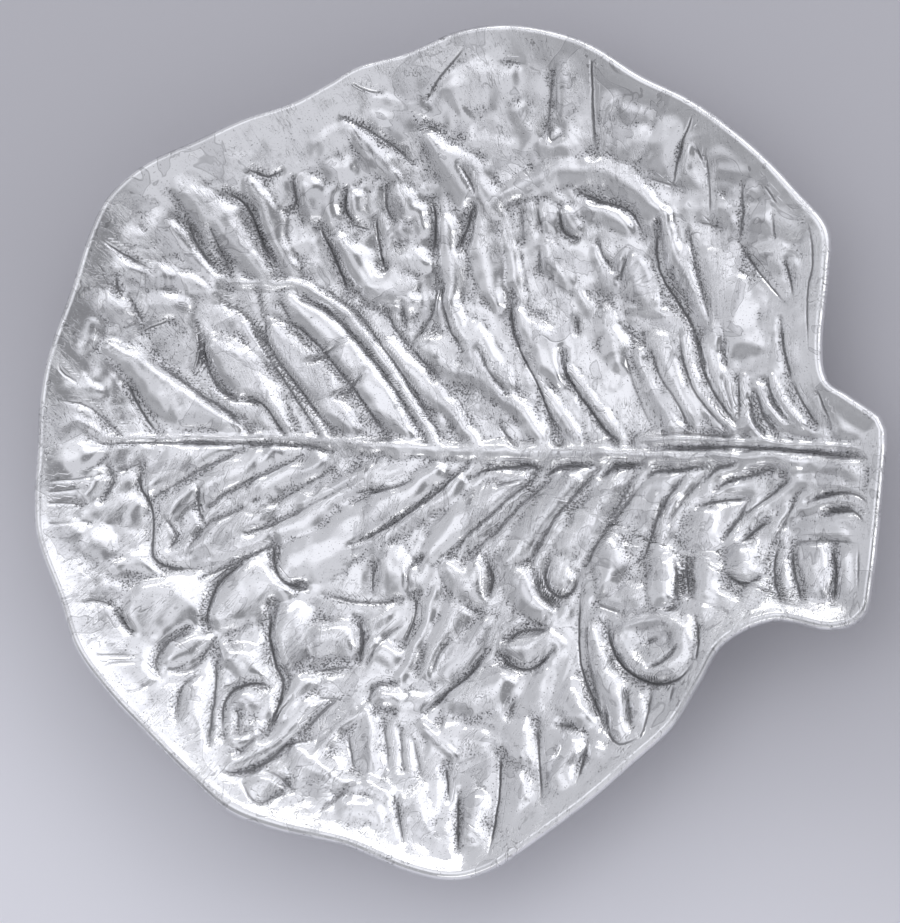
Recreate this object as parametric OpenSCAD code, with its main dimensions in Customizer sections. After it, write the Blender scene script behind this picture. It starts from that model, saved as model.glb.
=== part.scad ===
// Leaf-shaped serving plate: one aluminium casting that stands on four turned feet with soft pads.
// X runs from the leaf's tip to its cut stem end, Z is up, and the origin lies on the table
// under the middle of the plate.

/* [Leaf] */
// Length from the leaf's tip to the cut stem end
leaf_length = 400; // [320:5:480]
// Rise from the floor of the dish to the middle of the rim
dish_depth = 27; // [20:1:36]
// Width of the border that climbs from the floor to the rim
border_width = 125; // [100:5:140]
// Thickness of the cast wall
wall = 4.5; // [4:0.25:6]
// Thickness of the rounded rim
rim_thickness = 6; // [5:0.5:8]
// Most that the rim rises or dips as it goes round
rim_wave = 2.2; // [0:0.2:4]

/* [Relief] */
// Height of the midrib above the leaf
midrib_height = 3; // [2:0.2:5]
// Half width of the midrib at the tip
midrib_tip_width = 2.2; // [1.6:0.2:3]
// Half width of the midrib at the stem
midrib_stem_width = 6.5; // [5:0.5:9]
// Height of a side vein where it leaves the midrib
vein_height = 1.2; // [0.8:0.2:3]
// Half width of a side vein
vein_width = 2.8; // [2.2:0.2:4]
// Height of the tallest pillow between the veins
pillow_height = 3.6; // [2:0.2:5]
// Share of the relief that shows on the back
back_relief_share = 0.6; // [0.3:0.05:0.8]

/* [Feet] */
// Distance between the feet along the leaf
foot_span_x = 160; // [130:5:180]
// Distance between the feet across the leaf
foot_span_y = 130; // [100:5:150]
// Height of a foot's shoulder above the table
foot_height = 6; // [5:0.5:9]
// Radius of a foot
foot_radius = 7; // [6:0.5:8]
// Radius of the boss that a foot is soldered to
boss_radius = 9; // [8.5:0.5:12]
// Height of a boss below the back of the leaf
boss_height = 2.5; // [2:0.5:4]
// Radius of the bore in a boss
bore_radius = 3; // [2:0.25:3.5]
// Depth of the bore in a boss
bore_depth = 4.5; // [3:0.25:5]

/* [Pads] */
// Radius of the pad under a foot
pad_radius = 4.5; // [3:0.25:5]
// Thickness of the pad
pad_thickness = 2; // [1.6:0.1:3]
// Depth of the recess that holds the pad
recess_depth = 1.2; // [0.8:0.1:1.4]

/* [Hidden] */
$fn = 64;

// Layer of solder round a spigot, and of glue round a pad
solder_gap = 0.05;
glue_gap = 0.05;
// Overrun of a cut past the face it starts from
cut_overrun = 1;
// Width of the plain land inside the rim, and of the band beside it where the relief fades in
land_width = 5;
fade_width = 14;
// Distance over which the wall thickens into the rim
rim_swell = 12;
// Width of the flat seat round a boss, and of the band beside it where the back's relief fades in
seat_margin = 9;
// Chamfer at the foot's lower edge and at the tip of its spigot
foot_chamfer = 1;
spigot_chamfer = 0.6;
// Room that the spigot leaves above its tip
bore_end_room = 0.3;

// The leaf's drawing is a view from off the plate's axis: turned towards the stem, then
// down, then rolled.
view_yaw = 15;
view_pitch = 10;
view_roll = 4.4;
view_centre_px = [456, 449];

// Outline of the leaf in that view, from the stem's upper corner over the top to the tip,
// and back along the bottom to the stem's lower corner.
outline_px = [
    [878, 418], [846, 395], [824, 378], [820, 340], [827, 275], [827, 230], [800, 195], [755, 147],
    [695, 100], [640, 72], [592, 41], [545, 25], [500, 20], [455, 27], [405, 48], [358, 61],
    [328, 78], [290, 98], [240, 114], [195, 134], [140, 159], [103, 192], [83, 233], [66, 287],
    [43, 352], [34, 400], [32, 445], [29, 500], [33, 542], [55, 600], [72, 650], [105, 694],
    [145, 735], [190, 779], [230, 812], [280, 830], [345, 844], [405, 868], [450, 877], [488, 868],
    [525, 844], [585, 799], [630, 760], [670, 724], [697, 681], [722, 641], [770, 619], [825, 628],
    [858, 614], [868, 575], [880, 470], [882, 436]
];
outline_count = len(outline_px);
// Where the midrib meets the outline at the tip and the stem, counted in outline points
tip_station = 26;
stem_station = 50;

// The midrib's middle line, with the places where the veins leave it
midrib_px = [
    [29, 445], [100, 438], [200, 439], [330, 441], [400, 447], [450, 450], [550, 451], [640, 453],
    [760, 456], [820, 460], [882, 470]
];
vein_roots_px = [
    70, 108, 150, 228, 316, 361, 416, 472, 525, 550, 575, 605, 635, 690, 749, 772, 800, 834
];

// The side veins from the tip to the stem: three places on the way out, and where each ends on
// the outline, counted in its points. A vein with no height is a fold between two others.
upper_vein_paths_px = [
    [[60, 425], [51, 412], [43, 400]],
    [[85, 415], [66, 397], [51, 380]],
    [[120, 400], [88, 372], [64, 350]],
    [[185, 395], [138, 350], [95, 318]],
    [[262, 368], [205, 300], [130, 282]],
    [[318, 362], [258, 296], [158, 270]],
    [[365, 348], [300, 288], [180, 255]],
    [[410, 345], [330, 250], [220, 190]],
    [[455, 365], [375, 275], [300, 190]],
    [[485, 360], [428, 255], [370, 155]],
    [[512, 350], [478, 230], [432, 120]],
    [[540, 350], [512, 230], [482, 112]],
    [[567, 350], [545, 230], [532, 110]],
    [[636, 350], [604, 230], [600, 130]],
    [[688, 340], [662, 225], [680, 150]],
    [[732, 372], [722, 280], [750, 200]],
    [[778, 380], [778, 320], [795, 265]],
    [[822, 430], [808, 398], [803, 366]]
];
upper_vein_stations = [
    24.75, 24.4, 23.9, 23.3, 22.8, 22.45, 22, 20.6, 18.3, 16.2, 14.2, 12.8, 11.4, 9.8, 8, 6.6, 5, 3.1
];
upper_vein_height_shares = [
    0, 0.4, 0.6, 0.8, 1, 0.5, 1, 0, 0.8, 0, 1, 0, 0.9, 0.8, 1, 0.6, 0.6, 0.6
];
lower_vein_paths_px = [
    [[60, 460], [50, 478], [41, 496]],
    [[85, 468], [65, 490], [48, 513]],
    [[112, 488], [85, 515], [62, 540]],
    [[165, 500], [115, 545], [85, 575]],
    [[232, 505], [168, 560], [122, 610]],
    [[268, 510], [203, 568], [157, 650]],
    [[330, 510], [265, 555], [207, 630]],
    [[402, 522], [332, 582], [282, 680]],
    [[462, 530], [405, 600], [360, 700]],
    [[497, 536], [447, 606], [405, 712]],
    [[527, 540], [485, 610], [450, 720]],
    [[562, 536], [533, 606], [512, 712]],
    [[592, 530], [576, 600], [575, 700]],
    [[660, 515], [640, 585], [632, 670]],
    [[720, 525], [698, 580], [690, 630]],
    [[745, 522], [728, 575], [722, 610]],
    [[772, 520], [762, 570], [757, 600]],
    [[818, 530], [812, 570], [808, 600]]
];
lower_vein_stations = [
    27.3, 27.8, 28.4, 29.1, 30.3, 31.8, 33, 34.5, 36, 36.9, 37.8, 39.1, 40.2, 42.3, 44, 44.9, 45.7,
    46.7
];
lower_vein_height_shares = [
    0, 0.4, 0.6, 0.8, 0.7, 0.7, 1, 1, 0.9, 0, 1, 0, 1, 0.8, 0.7, 0, 0.7, 0.6
];
upper_tip_station = 25;
lower_tip_station = 27;
upper_stem_station = outline_count;
lower_stem_station = 48;

// Pillows and hollows between the veins: middle lines, the half widths at their points, and height
// shares, which are below nothing for a hollow
pillow_paths_px = [
    [[48, 462], [70, 458], [94, 451]], [[94, 474], [88, 492]],
    [[143, 493], [160, 478], [185, 462], [215, 450]],
    [[165, 515], [195, 492], [235, 470], [275, 452]],
    [[188, 552], [212, 538], [242, 522], [268, 508]],
    [[215, 556], [250, 545], [290, 528], [325, 508]], [[240, 498], [280, 480], [320, 462]],
    [[90, 543], [99, 545]], [[112, 568], [145, 560]], [[136, 612], [158, 604], [180, 600]],
    [[220, 614], [243, 597], [266, 582], [284, 592]], [[168, 661], [185, 648], [204, 637]],
    [[232, 656], [248, 664]], [[245, 700], [249, 700]], [[292, 618], [290, 640], [284, 658]],
    [[196, 692], [192, 714]], [[296, 562], [322, 552], [352, 545]], [[179, 176], [189, 192]],
    [[188, 192], [214, 218], [238, 245], [264, 273]],
    [[250, 180], [262, 205], [275, 240], [292, 268]],
    [[156, 222], [178, 238], [200, 262], [216, 279]],
    [[118, 262], [150, 270], [190, 281], [222, 298]], [[160, 328], [176, 352], [186, 374]],
    [[158, 304], [176, 306]], [[106, 346], [138, 366], [170, 393], [206, 415], [240, 428]],
    [[214, 346], [236, 366], [262, 396], [288, 428]], [[232, 406], [255, 413], [276, 430]],
    [[104, 302], [120, 312]], [[88, 324], [80, 345]], [[232, 152], [246, 158]],
    [[52, 392], [75, 384], [95, 392]], [[272, 330], [295, 362], [322, 396], [352, 428]],
    [[288, 300], [320, 326], [355, 366], [385, 402], [410, 434]], [[308, 184], [316, 208]],
    [[384, 342], [414, 374], [446, 406], [474, 438]], [[374, 288], [394, 288], [410, 302]],
    [[424, 342], [440, 354], [462, 374]], [[446, 300], [456, 325], [472, 350], [492, 374]],
    [[464, 368], [500, 388], [526, 416], [545, 441]], [[476, 328], [490, 356], [508, 384]],
    [[520, 314], [538, 338], [550, 360], [562, 380]],
    [[518, 346], [536, 380], [556, 408], [580, 440]], [[560, 272], [568, 280]],
    [[606, 312], [618, 340], [624, 366]], [[522, 479], [492, 500], [458, 530], [430, 556]],
    [[576, 482], [552, 505], [528, 536], [508, 562]], [[612, 486], [592, 515], [572, 546]],
    [[442, 470], [404, 494], [362, 522], [326, 542]], [[382, 466], [342, 486], [306, 508]],
    [[460, 86], [484, 79], [506, 82]], [[384, 70], [408, 78]],
    [[352, 124], [366, 145], [385, 165], [402, 179]], [[328, 140], [346, 130]],
    [[334, 168], [348, 166]], [[430, 134], [452, 160], [475, 186], [490, 206]],
    [[444, 220], [450, 250], [455, 282], [450, 300]],
    [[484, 222], [488, 250], [491, 280], [497, 306]], [[404, 196], [408, 206]],
    [[356, 195], [358, 210]], [[330, 192], [331, 212]], [[400, 230], [404, 230]],
    [[337, 238], [352, 258], [372, 284]], [[405, 258], [423, 262]],
    [[566, 62], [566, 90], [563, 112]], [[556, 142], [570, 148]],
    [[500, 196], [535, 180], [570, 168], [604, 170], [640, 192], [664, 212]],
    [[590, 208], [608, 213], [626, 224]], [[546, 244], [552, 262]], [[565, 212], [576, 226]],
    [[630, 262], [640, 284], [650, 302]], [[600, 250], [610, 285]], [[520, 110], [528, 128]],
    [[667, 212], [672, 238], [684, 268], [698, 295], [708, 318], [717, 346]],
    [[712, 262], [728, 300], [742, 342]], [[754, 222], [780, 222], [796, 232]],
    [[764, 256], [786, 262]], [[719, 152], [736, 156]], [[717, 171], [743, 173]],
    [[628, 148], [640, 132]], [[670, 126], [658, 152]], [[606, 330], [612, 352]],
    [[722, 205], [726, 205]], [[660, 342], [668, 375], [686, 412]],
    [[707, 345], [716, 375], [728, 405], [742, 428]],
    [[345, 444], [400, 448], [460, 450], [520, 452], [610, 453]],
    [[600, 452], [640, 456], [700, 457], [760, 459], [810, 464], [868, 474]],
    [[790, 478], [826, 484], [860, 494]], [[674, 500], [669, 520], [660, 546]],
    [[708, 514], [701, 536]], [[773, 532], [790, 511], [806, 496]],
    [[606, 546], [610, 564], [606, 586]], [[630, 592], [634, 592]], [[665, 568], [662, 592]],
    [[708, 566], [706, 588]], [[740, 555], [742, 566]], [[808, 551], [814, 570], [812, 590]],
    [[842, 558], [843, 586]], [[754, 588], [745, 606]], [[810, 486], [814, 486]],
    [[392, 562], [402, 580]], [[424, 572], [418, 586]], [[452, 572], [470, 588], [479, 572]],
    [[520, 578], [530, 600], [550, 612]], [[557, 571], [564, 582]],
    [[596, 632], [600, 666], [608, 704]], [[458, 610], [446, 640], [430, 672]],
    [[484, 628], [466, 654], [448, 676]], [[506, 648], [525, 645], [547, 634]],
    [[458, 700], [480, 694], [502, 678]], [[448, 734], [480, 737]], [[520, 735], [522, 750]],
    [[571, 698], [580, 712]], [[570, 742], [560, 775]], [[476, 798], [472, 832]],
    [[383, 697], [391, 697]], [[324, 640], [344, 640]], [[376, 648], [391, 655]],
    [[400, 706], [425, 700]], [[548, 655], [556, 640]], [[538, 700], [545, 672]],
    [[350, 808], [375, 812]], [[232, 742], [252, 744], [258, 735]],
    [[232, 768], [262, 752], [290, 730], [316, 704]], [[286, 712], [298, 694], [312, 680]],
    [[232, 792], [250, 792], [272, 782], [282, 776]], [[300, 752], [312, 764], [330, 770]],
    [[330, 776], [352, 784]], [[366, 784], [386, 796]], [[350, 812], [378, 808]],
    [[414, 800], [424, 826]], [[636, 642], [654, 645], [668, 644]], [[650, 644], [662, 642]],
    [[593, 630], [600, 660], [612, 692], [621, 728]], [[590, 745], [604, 752], [622, 745]],
    [[686, 622], [700, 610]], [[720, 596], [728, 606]]
];
pillow_half_widths_px = [
    [8, 14, 7], [7, 9], [7, 13, 13, 7], [6, 12, 12, 6], [5, 14, 12, 6], [5, 10, 10, 6], [5, 9, 5],
    [11, 11], [5, 9], [18, 28, 24], [15, 26, 24, 10], [8, 12, 6], [12, 16], [11, 11], [16, 20, 11],
    [12, 11], [18, 22, 12], [15, 14], [12, 17, 14, 7], [7, 10, 10, 7], [12, 11, 8, 4], [5, 7, 8, 5],
    [18, 20, 11], [12, 12], [7, 14, 23, 14, 4], [11, 19, 15, 5], [7, 11, 5], [10, 10], [7, 8],
    [11, 13], [5, 8, 6], [9, 17, 17, 8], [9, 14, 17, 17, 6], [14, 11], [8, 9, 9, 5], [12, 21, 10],
    [10, 15, 8], [10, 16, 12, 5], [6, 9, 8, 5], [6, 11, 7], [7, 17, 14, 5], [4, 7, 8, 6], [8, 8],
    [9, 11, 7], [8, 15, 16, 9], [8, 14, 13, 7], [8, 13, 11], [5, 12, 19, 12], [5, 9, 7],
    [15, 24, 14], [10, 13], [4, 8, 8, 4], [12, 10], [10, 8], [7, 14, 18, 13], [9, 12, 11, 5],
    [11, 14, 12, 5], [13, 12], [9, 8], [8, 7], [9, 9], [9, 14, 10], [13, 10], [9, 9, 6], [13, 10],
    [8, 12, 12, 13, 10, 6], [5, 9, 5], [8, 9], [9, 8], [11, 16, 10], [8, 8], [8, 9],
    [5, 6, 9, 8, 6, 4], [13, 20, 15], [12, 14, 8], [9, 11], [8, 8], [7, 8], [12, 10], [11, 12],
    [9, 8], [9, 9], [11, 13, 9], [9, 11, 10, 5], [4, 7, 8, 9, 9], [8, 8, 9, 9, 10, 11], [6, 8, 8],
    [8, 9, 8], [11, 12], [5, 8, 7], [12, 15, 8], [10, 10], [14, 13], [13, 12], [14, 16],
    [14, 14, 8], [8, 9], [9, 7], [8, 8], [17, 14], [8, 7], [9, 16, 12], [12, 14, 6], [11, 9],
    [7, 10, 8], [12, 14, 8], [9, 12, 8], [5, 9, 5], [13, 18, 11], [9, 11], [13, 12], [14, 12],
    [12, 12], [10, 10], [9, 9], [14, 16], [9, 10], [9, 9], [8, 7], [9, 8], [8, 9], [4, 8, 5],
    [6, 8, 8, 6], [9, 12, 7], [9, 13, 10, 6], [10, 12, 9], [8, 8], [8, 9], [10, 10], [8, 9],
    [24, 30, 24], [14, 11], [6, 10, 11, 9], [7, 8, 7], [7, 8], [8, 8]
];
pillow_height_shares = [
    0.61, 0.5, 0.67, 0.56, 0.5, 0.44, 0.44, 0.39, 0.39, 0.89, 1, 0.67, 0.83, 0.5, 0.94, 0.39, 0.89,
    0.5, 0.94, 0.72, 0.5, 0.44, -0.61, 0.5, 1, 0.94, 0.56, 0.61, 0.5, 0.39, 0.39, 0.72, 0.78, 0.78,
    0.67, 1, 0.72, 0.89, 0.67, 0.56, 0.89, 0.61, 0.5, 0.72, 0.72, 0.67, 0.61, 0.72, 0.5, 0.5, 0.36,
    0.61, 0.42, 0.39, 0.94, 0.78, 0.72, 0.81, 0.67, 0.56, 0.5, 0.89, 0.67, 0.44, 0.5, 0.67, 0.44,
    0.56, 0.67, 0.81, 0.44, 0.39, 0.83, 0.67, 0.42, 0.5, 0.42, 0.39, 0.36, 0.42, 0.56, 0.42, 0.56,
    0.67, 0.72, 0.83, 0.5, 0.5, 0.53, 0.47, 0.89, 0.61, 0.89, 0.83, 1, 0.94, 0.72, 0.61, 0.39, 0.83,
    0.39, 0.89, 0.83, 0.56, 0.72, 0.78, 0.5, 0.56, 0.83, 0.36, 0.78, 0.78, 0.89, 0.72, 0.94, 0.89,
    0.53, 0.44, 0.42, 0.39, 0.36, 0.72, 0.67, 0.61, 0.89, 0.72, 0.5, 0.44, 0.39, 0.42, 0.78, -0.5,
    0.83, 0.56, 0.44, 0.5
];

// Waves of the rim: how many go round, the angles they start at, and shares of the wave height
rim_wave_counts = [3, 5, 9];
rim_wave_starts = [25, -60, 110];
rim_wave_shares = [0.4, 0.35, 0.25];

// Columns between two veins, as shares of the way, and rows from the midrib to the rim. The
// back takes every second column and row.
column_shares = [0, 0.16, 0.5, 0.84];
row_count = 22;
// Angles of the points round the rounded rim
rim_angles = [45, 0, -45];
// Points that a vein is measured on
vein_steps = 8;
// Height share that the midrib has at the tip
midrib_tip_share = 0.5;
// How far a pillow spreads, as a share of its half width, and how closely two that meet keep apart
pillow_spread_share = 1.28;
meeting_power = 3;

function mix(a, b, t) = a + (b - a) * t;
function clamp01(t) = max(0, min(1, t));
function ease(t) = let (c = clamp01(t)) c * c * (3 - 2 * c);
function bump(distance, reach) = exp(-pow(distance / reach, 2));

// A smooth curve through four points, between the second and the third
function through(a, b, c, d, t) =
    b + (c - a) * t / 2 + (2 * a - 5 * b + 4 * c - d) * t * t / 2
    + (3 * b - a - 3 * c + d) * t * t * t / 2;

function outline_at(station) =
    let (i = floor(station), p = function (k) outline_px[(i + k + outline_count) % outline_count])
    through(p(-1), p(0), p(1), p(2), station - i);

function curve_at(points, share) =
    let (last = len(points) - 1, i = min(last - 1, floor(share * last)))
    through(i > 0 ? points[i - 1] : 2 * points[0] - points[1], points[i], points[i + 1],
            i < last - 1 ? points[i + 2] : 2 * points[last] - points[last - 1], share * last - i);

// The plan place of a point seen at a place in the view, with its height above the rim
function unscaled_plan(place, above) =
    let (across = place.x - view_centre_px.x, up = view_centre_px.y - place.y,
         right = across * cos(view_roll) - up * sin(view_roll),
         top = across * sin(view_roll) + up * cos(view_roll),
         x = (right + above * sin(view_yaw)) / cos(view_yaw))
    [x, (top - (x * sin(view_yaw) + above * cos(view_yaw)) * sin(view_pitch)) / cos(view_pitch)];

outline_shape = [for (k = [0 : 2 * outline_count - 1]) unscaled_plan(outline_at(k / 2), 0)];
shape_low = [min([for (p = outline_shape) p.x]), min([for (p = outline_shape) p.y])];
shape_high = [max([for (p = outline_shape) p.x]), max([for (p = outline_shape) p.y])];
mm_per_px = leaf_length / (shape_high.x - shape_low.x);

function plan(place, above) =
    (unscaled_plan(place, above / mm_per_px) - (shape_low + shape_high) / 2) * mm_per_px;

// The outline's plan, and the distance from a plan place to the nearest point of a path
outline_plan = [for (p = outline_shape) (p - (shape_low + shape_high) / 2) * mm_per_px];
function segment_distance(p, a, b) =
    norm(p - mix(a, b, clamp01((p - a) * (b - a) / ((b - a) * (b - a)))));
function path_distance(p, path) =
    min([for (i = [0 : len(path) - 2]) segment_distance(p, path[i], path[i + 1])]);
function depth_inside(p) =
    max(0, path_distance(p, concat(outline_plan, [outline_plan[0]])) - rim_thickness / 2);

// Levels of the back of the leaf and of the floor of the dish
back_level = foot_height + boss_height;
floor_level = back_level + wall;
rim_radius = rim_thickness / 2;

// Places of the feet, towards the tip or the stem and on the leaf's upper or lower half
tip_upper = [-foot_span_x / 2, foot_span_y / 2, 0];
tip_lower = [-foot_span_x / 2, -foot_span_y / 2, 0];
stem_upper = [foot_span_x / 2, foot_span_y / 2, 0];
stem_lower = [foot_span_x / 2, -foot_span_y / 2, 0];

function rim_rise(p) =
    dish_depth + rim_wave * rim_wave_shares
        * [for (i = [0 : len(rim_wave_counts) - 1])
              sin(rim_wave_counts[i] * atan2(p.y, p.x) + rim_wave_starts[i])];
function dish_rise(p, depth) = rim_rise(p) * pow(1 - min(depth, border_width) / border_width, 2);

// Places in the view on the rim, and on the paths that the columns follow
function rim_place(station) =
    let (along = outline_at(station + 0.02) - outline_at(station - 0.02))
    outline_at(station) - [-along.y, along.x] / norm(along) * rim_radius / mm_per_px;
function rim_path(from, to) = [for (k = [0 : 4]) rim_place(mix(from, to, k / 4))];
function midrib_place(x) = [x, lookup(x, midrib_px)];
function half_leaf(paths_px, stations, shares, tip, stem) = [
    concat([rim_path(tip_station, tip)],
           [for (i = [0 : len(paths_px) - 1])
               concat([midrib_place(vein_roots_px[i])], paths_px[i], [rim_place(stations[i])])],
           [rim_path(stem_station, stem)]),
    concat([tip], stations, [stem == outline_count ? 0 : stem]),
    concat([0], shares, [0])
];
halves = [
    half_leaf(upper_vein_paths_px, upper_vein_stations, upper_vein_height_shares,
              upper_tip_station, upper_stem_station),
    half_leaf(lower_vein_paths_px, lower_vein_stations, lower_vein_height_shares,
              lower_tip_station, lower_stem_station)
];

// Heights of the relief at a place in the view
vein_paths = [for (half = halves)
    [for (path = half[0]) [for (k = [0 : vein_steps]) curve_at(path, k / vein_steps)]]];
function midrib_half_width(x) =
    mix(midrib_tip_width, midrib_stem_width, pow(clamp01(x / outline_px[stem_station].x), 2));
function line_forms(half, cell, place, depth_share) =
    let (near = [max(1, cell) : min(len(vein_roots_px), cell + 1)],
         rib_gap = abs(place.y - lookup(place.x, midrib_px)) * mm_per_px)
    concat([midrib_height * mix(midrib_tip_share, 1, clamp01(place.x / outline_px[stem_station].x))
               * bump(rib_gap, midrib_half_width(place.x))],
           [for (i = near) vein_height * halves[half][2][i] * depth_share
               * bump(path_distance(place, vein_paths[half][i]) * mm_per_px, vein_width)]);
pillow_middles_px = [for (path = pillow_paths_px)
    (path[0] + path[floor((len(path) - 1) / 2)] + path[len(path) - 1]) / 3];
pillow_reaches_px = [for (i = [0 : len(pillow_paths_px) - 1])
    max([for (p = pillow_paths_px[i]) norm(p - pillow_middles_px[i])])
        + max(pillow_half_widths_px[i]) * pillow_spread_share];
function pillow_form(place, path, half_widths) =
    max([for (i = [0 : len(path) - 2])
        let (along = path[i + 1] - path[i], t = clamp01((place - path[i]) * along / (along * along)),
             width = mix(half_widths[i], half_widths[i + 1], t) * pillow_spread_share)
        max(0, 1 - pow(norm(place - mix(path[i], path[i + 1], t)) / width, 2))]);
function pillow_forms(place) =
    [for (i = [0 : len(pillow_paths_px) - 1])
        if (norm(place - pillow_middles_px[i]) < pillow_reaches_px[i])
            pillow_height * pillow_height_shares[i]
                * pillow_form(place, pillow_paths_px[i], pillow_half_widths_px[i])];
function meet(forms) =
    let (total = [for (form = forms) sign(form) * pow(abs(form), meeting_power)]
                 * [for (form = forms) 1])
    sign(total) * pow(abs(total), 1 / meeting_power);

// One point of the front and of the back, for a column of a half and a row of it
columns = concat([for (i = [0 : len(vein_roots_px)], share = column_shares) [i, share]],
                 [[len(vein_roots_px) + 1, 0]]);
column_count = len(columns) - 1;

function column_station(half, column) =
    column[1] == 0 ? halves[half][1][column[0]]
                   : mix(halves[half][1][column[0]], halves[half][1][column[0] + 1], column[1]);
function view_place(half, column, t) =
    let (i = column[0], share = column[1], paths = halves[half][0])
    share == 0 ? curve_at(paths[i], t)
    : let (place = mix(curve_at(paths[i], t), curve_at(paths[i + 1], t), share),
           chord = mix(curve_at(paths[i], 1), curve_at(paths[i + 1], 1), share))
      place + (rim_place(column_station(half, column)) - chord) * t * t;

// Whether the back follows the relief and the front may dip: 0 in the flat seat round a foot,
// 1 away from it
function seat_fade(at) =
    ease((min([for (foot = [tip_upper, tip_lower, stem_upper, stem_lower])
        norm([at.x - foot.x, at.y - foot.y])]) - boss_radius - seat_margin) / seat_margin);

function plate_points(half, column, row) =
    let (t = row / row_count,
         spot = view_place(half, column, t),
         place = row == 0 ? midrib_place(spot.x) : spot,
         first = plan(place, 0),
         second = plan(place, dish_rise(first, depth_inside(first)) - rim_rise(first)),
         depth = depth_inside(second),
         above = dish_rise(second, depth) - rim_rise(second),
         at = plan(place, above),
         forms = meet(concat(line_forms(half, column[0], place, 1 - t / 2), pillow_forms(place)))
                 * ease((depth - land_width) / fade_width),
         relief = forms > 0 ? forms : forms * seat_fade(at),
         swell = (rim_thickness - wall) / 2 * (1 - ease(depth / rim_swell)),
         rise = floor_level + above + rim_rise(second))
    [[at.x, at.y, rise + swell + relief],
     [at.x, at.y, mix(back_level, rise - wall - swell + relief * back_relief_share, seat_fade(at))]];

// The casting's skin: a grid for the front, a coarser one for the back, and rings round the rim
module leaf_skin() {
    last = 2 * row_count;
    grid = [for (c = columns) [for (s = [0 : last])
        s < row_count ? plate_points(1, c, row_count - s) : plate_points(0, c, s - row_count)]];

    // The grid's edge as column and row, clockwise from the tip, and its places on the outline
    loop = concat([for (c = [0 : column_count - 1]) [c, last]],
                  [for (s = [last : -1 : 1]) [column_count, s]],
                  [for (c = [column_count : -1 : 1]) [c, 0]],
                  [for (s = [0 : last - 1]) [0, s]]);
    turns = len(loop);
    function end_station(s, tip_or_stem, low, high) =
        s < row_count ? mix(tip_or_stem, low, 1 - s / row_count)
                      : mix(tip_or_stem, high, s / row_count - 1);
    function loop_station(c, s) =
        c == 0 ? end_station(s, tip_station, lower_tip_station, upper_tip_station)
        : c == column_count ? end_station(s, stem_station, lower_stem_station, upper_stem_station)
        : column_station(s == 0 ? 1 : 0, columns[c]);
    function outward(station) =
        let (along = plan(outline_at(station + 0.02), 0) - plan(outline_at(station - 0.02), 0))
        [along.y, -along.x] / norm(along);
    rings = [for (angle = rim_angles) [for (p = loop)
        let (pair = grid[p[0]][p[1]], middle = (pair[0] + pair[1]) / 2,
             out = outward(loop_station(p[0], p[1])) * rim_radius * cos(angle))
        [middle.x + out.x, middle.y + out.y, middle.z + rim_radius * sin(angle)]]];

    front = [for (c = [0 : column_count], s = [0 : last]) grid[c][s][0]];
    back = [for (c = [0 : 2 : column_count], s = [0 : 2 : last]) grid[c][s][1]];
    ring_start = len(front);
    back_start = ring_start + len(rim_angles) * turns;
    function front_at(c, s) = c * (last + 1) + s;
    function back_at(c, s) = back_start + c * (row_count + 1) + s;
    function ring_at(k, j) =
        k == 0 ? front_at(loop[j % turns][0], loop[j % turns][1])
               : ring_start + (k - 1) * turns + j % turns;
    function back_edge(j) = back_at(loop[j % turns][0] / 2, loop[j % turns][1] / 2);

    faces = concat(
        [for (c = [0 : column_count - 1], s = [0 : last - 1], half = [0, 1])
            half == 0 ? [front_at(c, s), front_at(c, s + 1), front_at(c + 1, s + 1)]
                      : [front_at(c, s), front_at(c + 1, s + 1), front_at(c + 1, s)]],
        [for (c = [0 : column_count / 2 - 1], s = [0 : row_count - 1], half = [0, 1])
            half == 0 ? [back_at(c, s), back_at(c + 1, s + 1), back_at(c, s + 1)]
                      : [back_at(c, s), back_at(c + 1, s), back_at(c + 1, s + 1)]],
        [for (k = [0 : len(rim_angles) - 1], j = [0 : turns - 1], half = [0, 1])
            half == 0 ? [ring_at(k, j), ring_at(k + 1, j), ring_at(k + 1, j + 1)]
                      : [ring_at(k, j), ring_at(k + 1, j + 1), ring_at(k, j + 1)]],
        [for (j = [0 : 2 : turns - 2], part = [0, 1, 2])
            let (k = len(rim_angles))
            part == 0 ? [ring_at(k, j), back_edge(j), ring_at(k, j + 1)]
            : part == 1 ? [ring_at(k, j + 1), back_edge(j), back_edge(j + 2)]
                        : [ring_at(k, j + 1), back_edge(j + 2), ring_at(k, j + 2)]]
    );
    polyhedron(concat(front, [for (ring = rings) each ring], back), faces);
}

module leaf_plate() {
    color("silver")
    difference() {
        union() {
            leaf_skin();
            for (at = [tip_upper, tip_lower, stem_upper, stem_lower])
                translate([at.x, at.y, foot_height])
                    cylinder(h = boss_height + wall / 2, r = boss_radius);
        }
        for (at = [tip_upper, tip_lower, stem_upper, stem_lower])
            translate([at.x, at.y, foot_height - cut_overrun])
                cylinder(h = bore_depth + cut_overrun, r = bore_radius);
    }
}

// A turned foot: a spigot for the boss's bore, a shoulder, and a recess for the pad
module foot() {
    spigot_radius = bore_radius - solder_gap;
    spigot_top = foot_height + bore_depth - bore_end_room;
    foot_bottom = pad_thickness - recess_depth;
    color("gainsboro")
    rotate_extrude()
        polygon([
            [0, pad_thickness], [pad_radius, pad_thickness], [pad_radius, foot_bottom],
            [foot_radius - foot_chamfer, foot_bottom], [foot_radius, foot_bottom + foot_chamfer],
            [foot_radius, foot_height], [spigot_radius, foot_height],
            [spigot_radius, spigot_top - spigot_chamfer],
            [spigot_radius - spigot_chamfer, spigot_top], [0, spigot_top]
        ]);
}

module pad() {
    color("dimgray") cylinder(h = pad_thickness, r = pad_radius - glue_gap);
}

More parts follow.
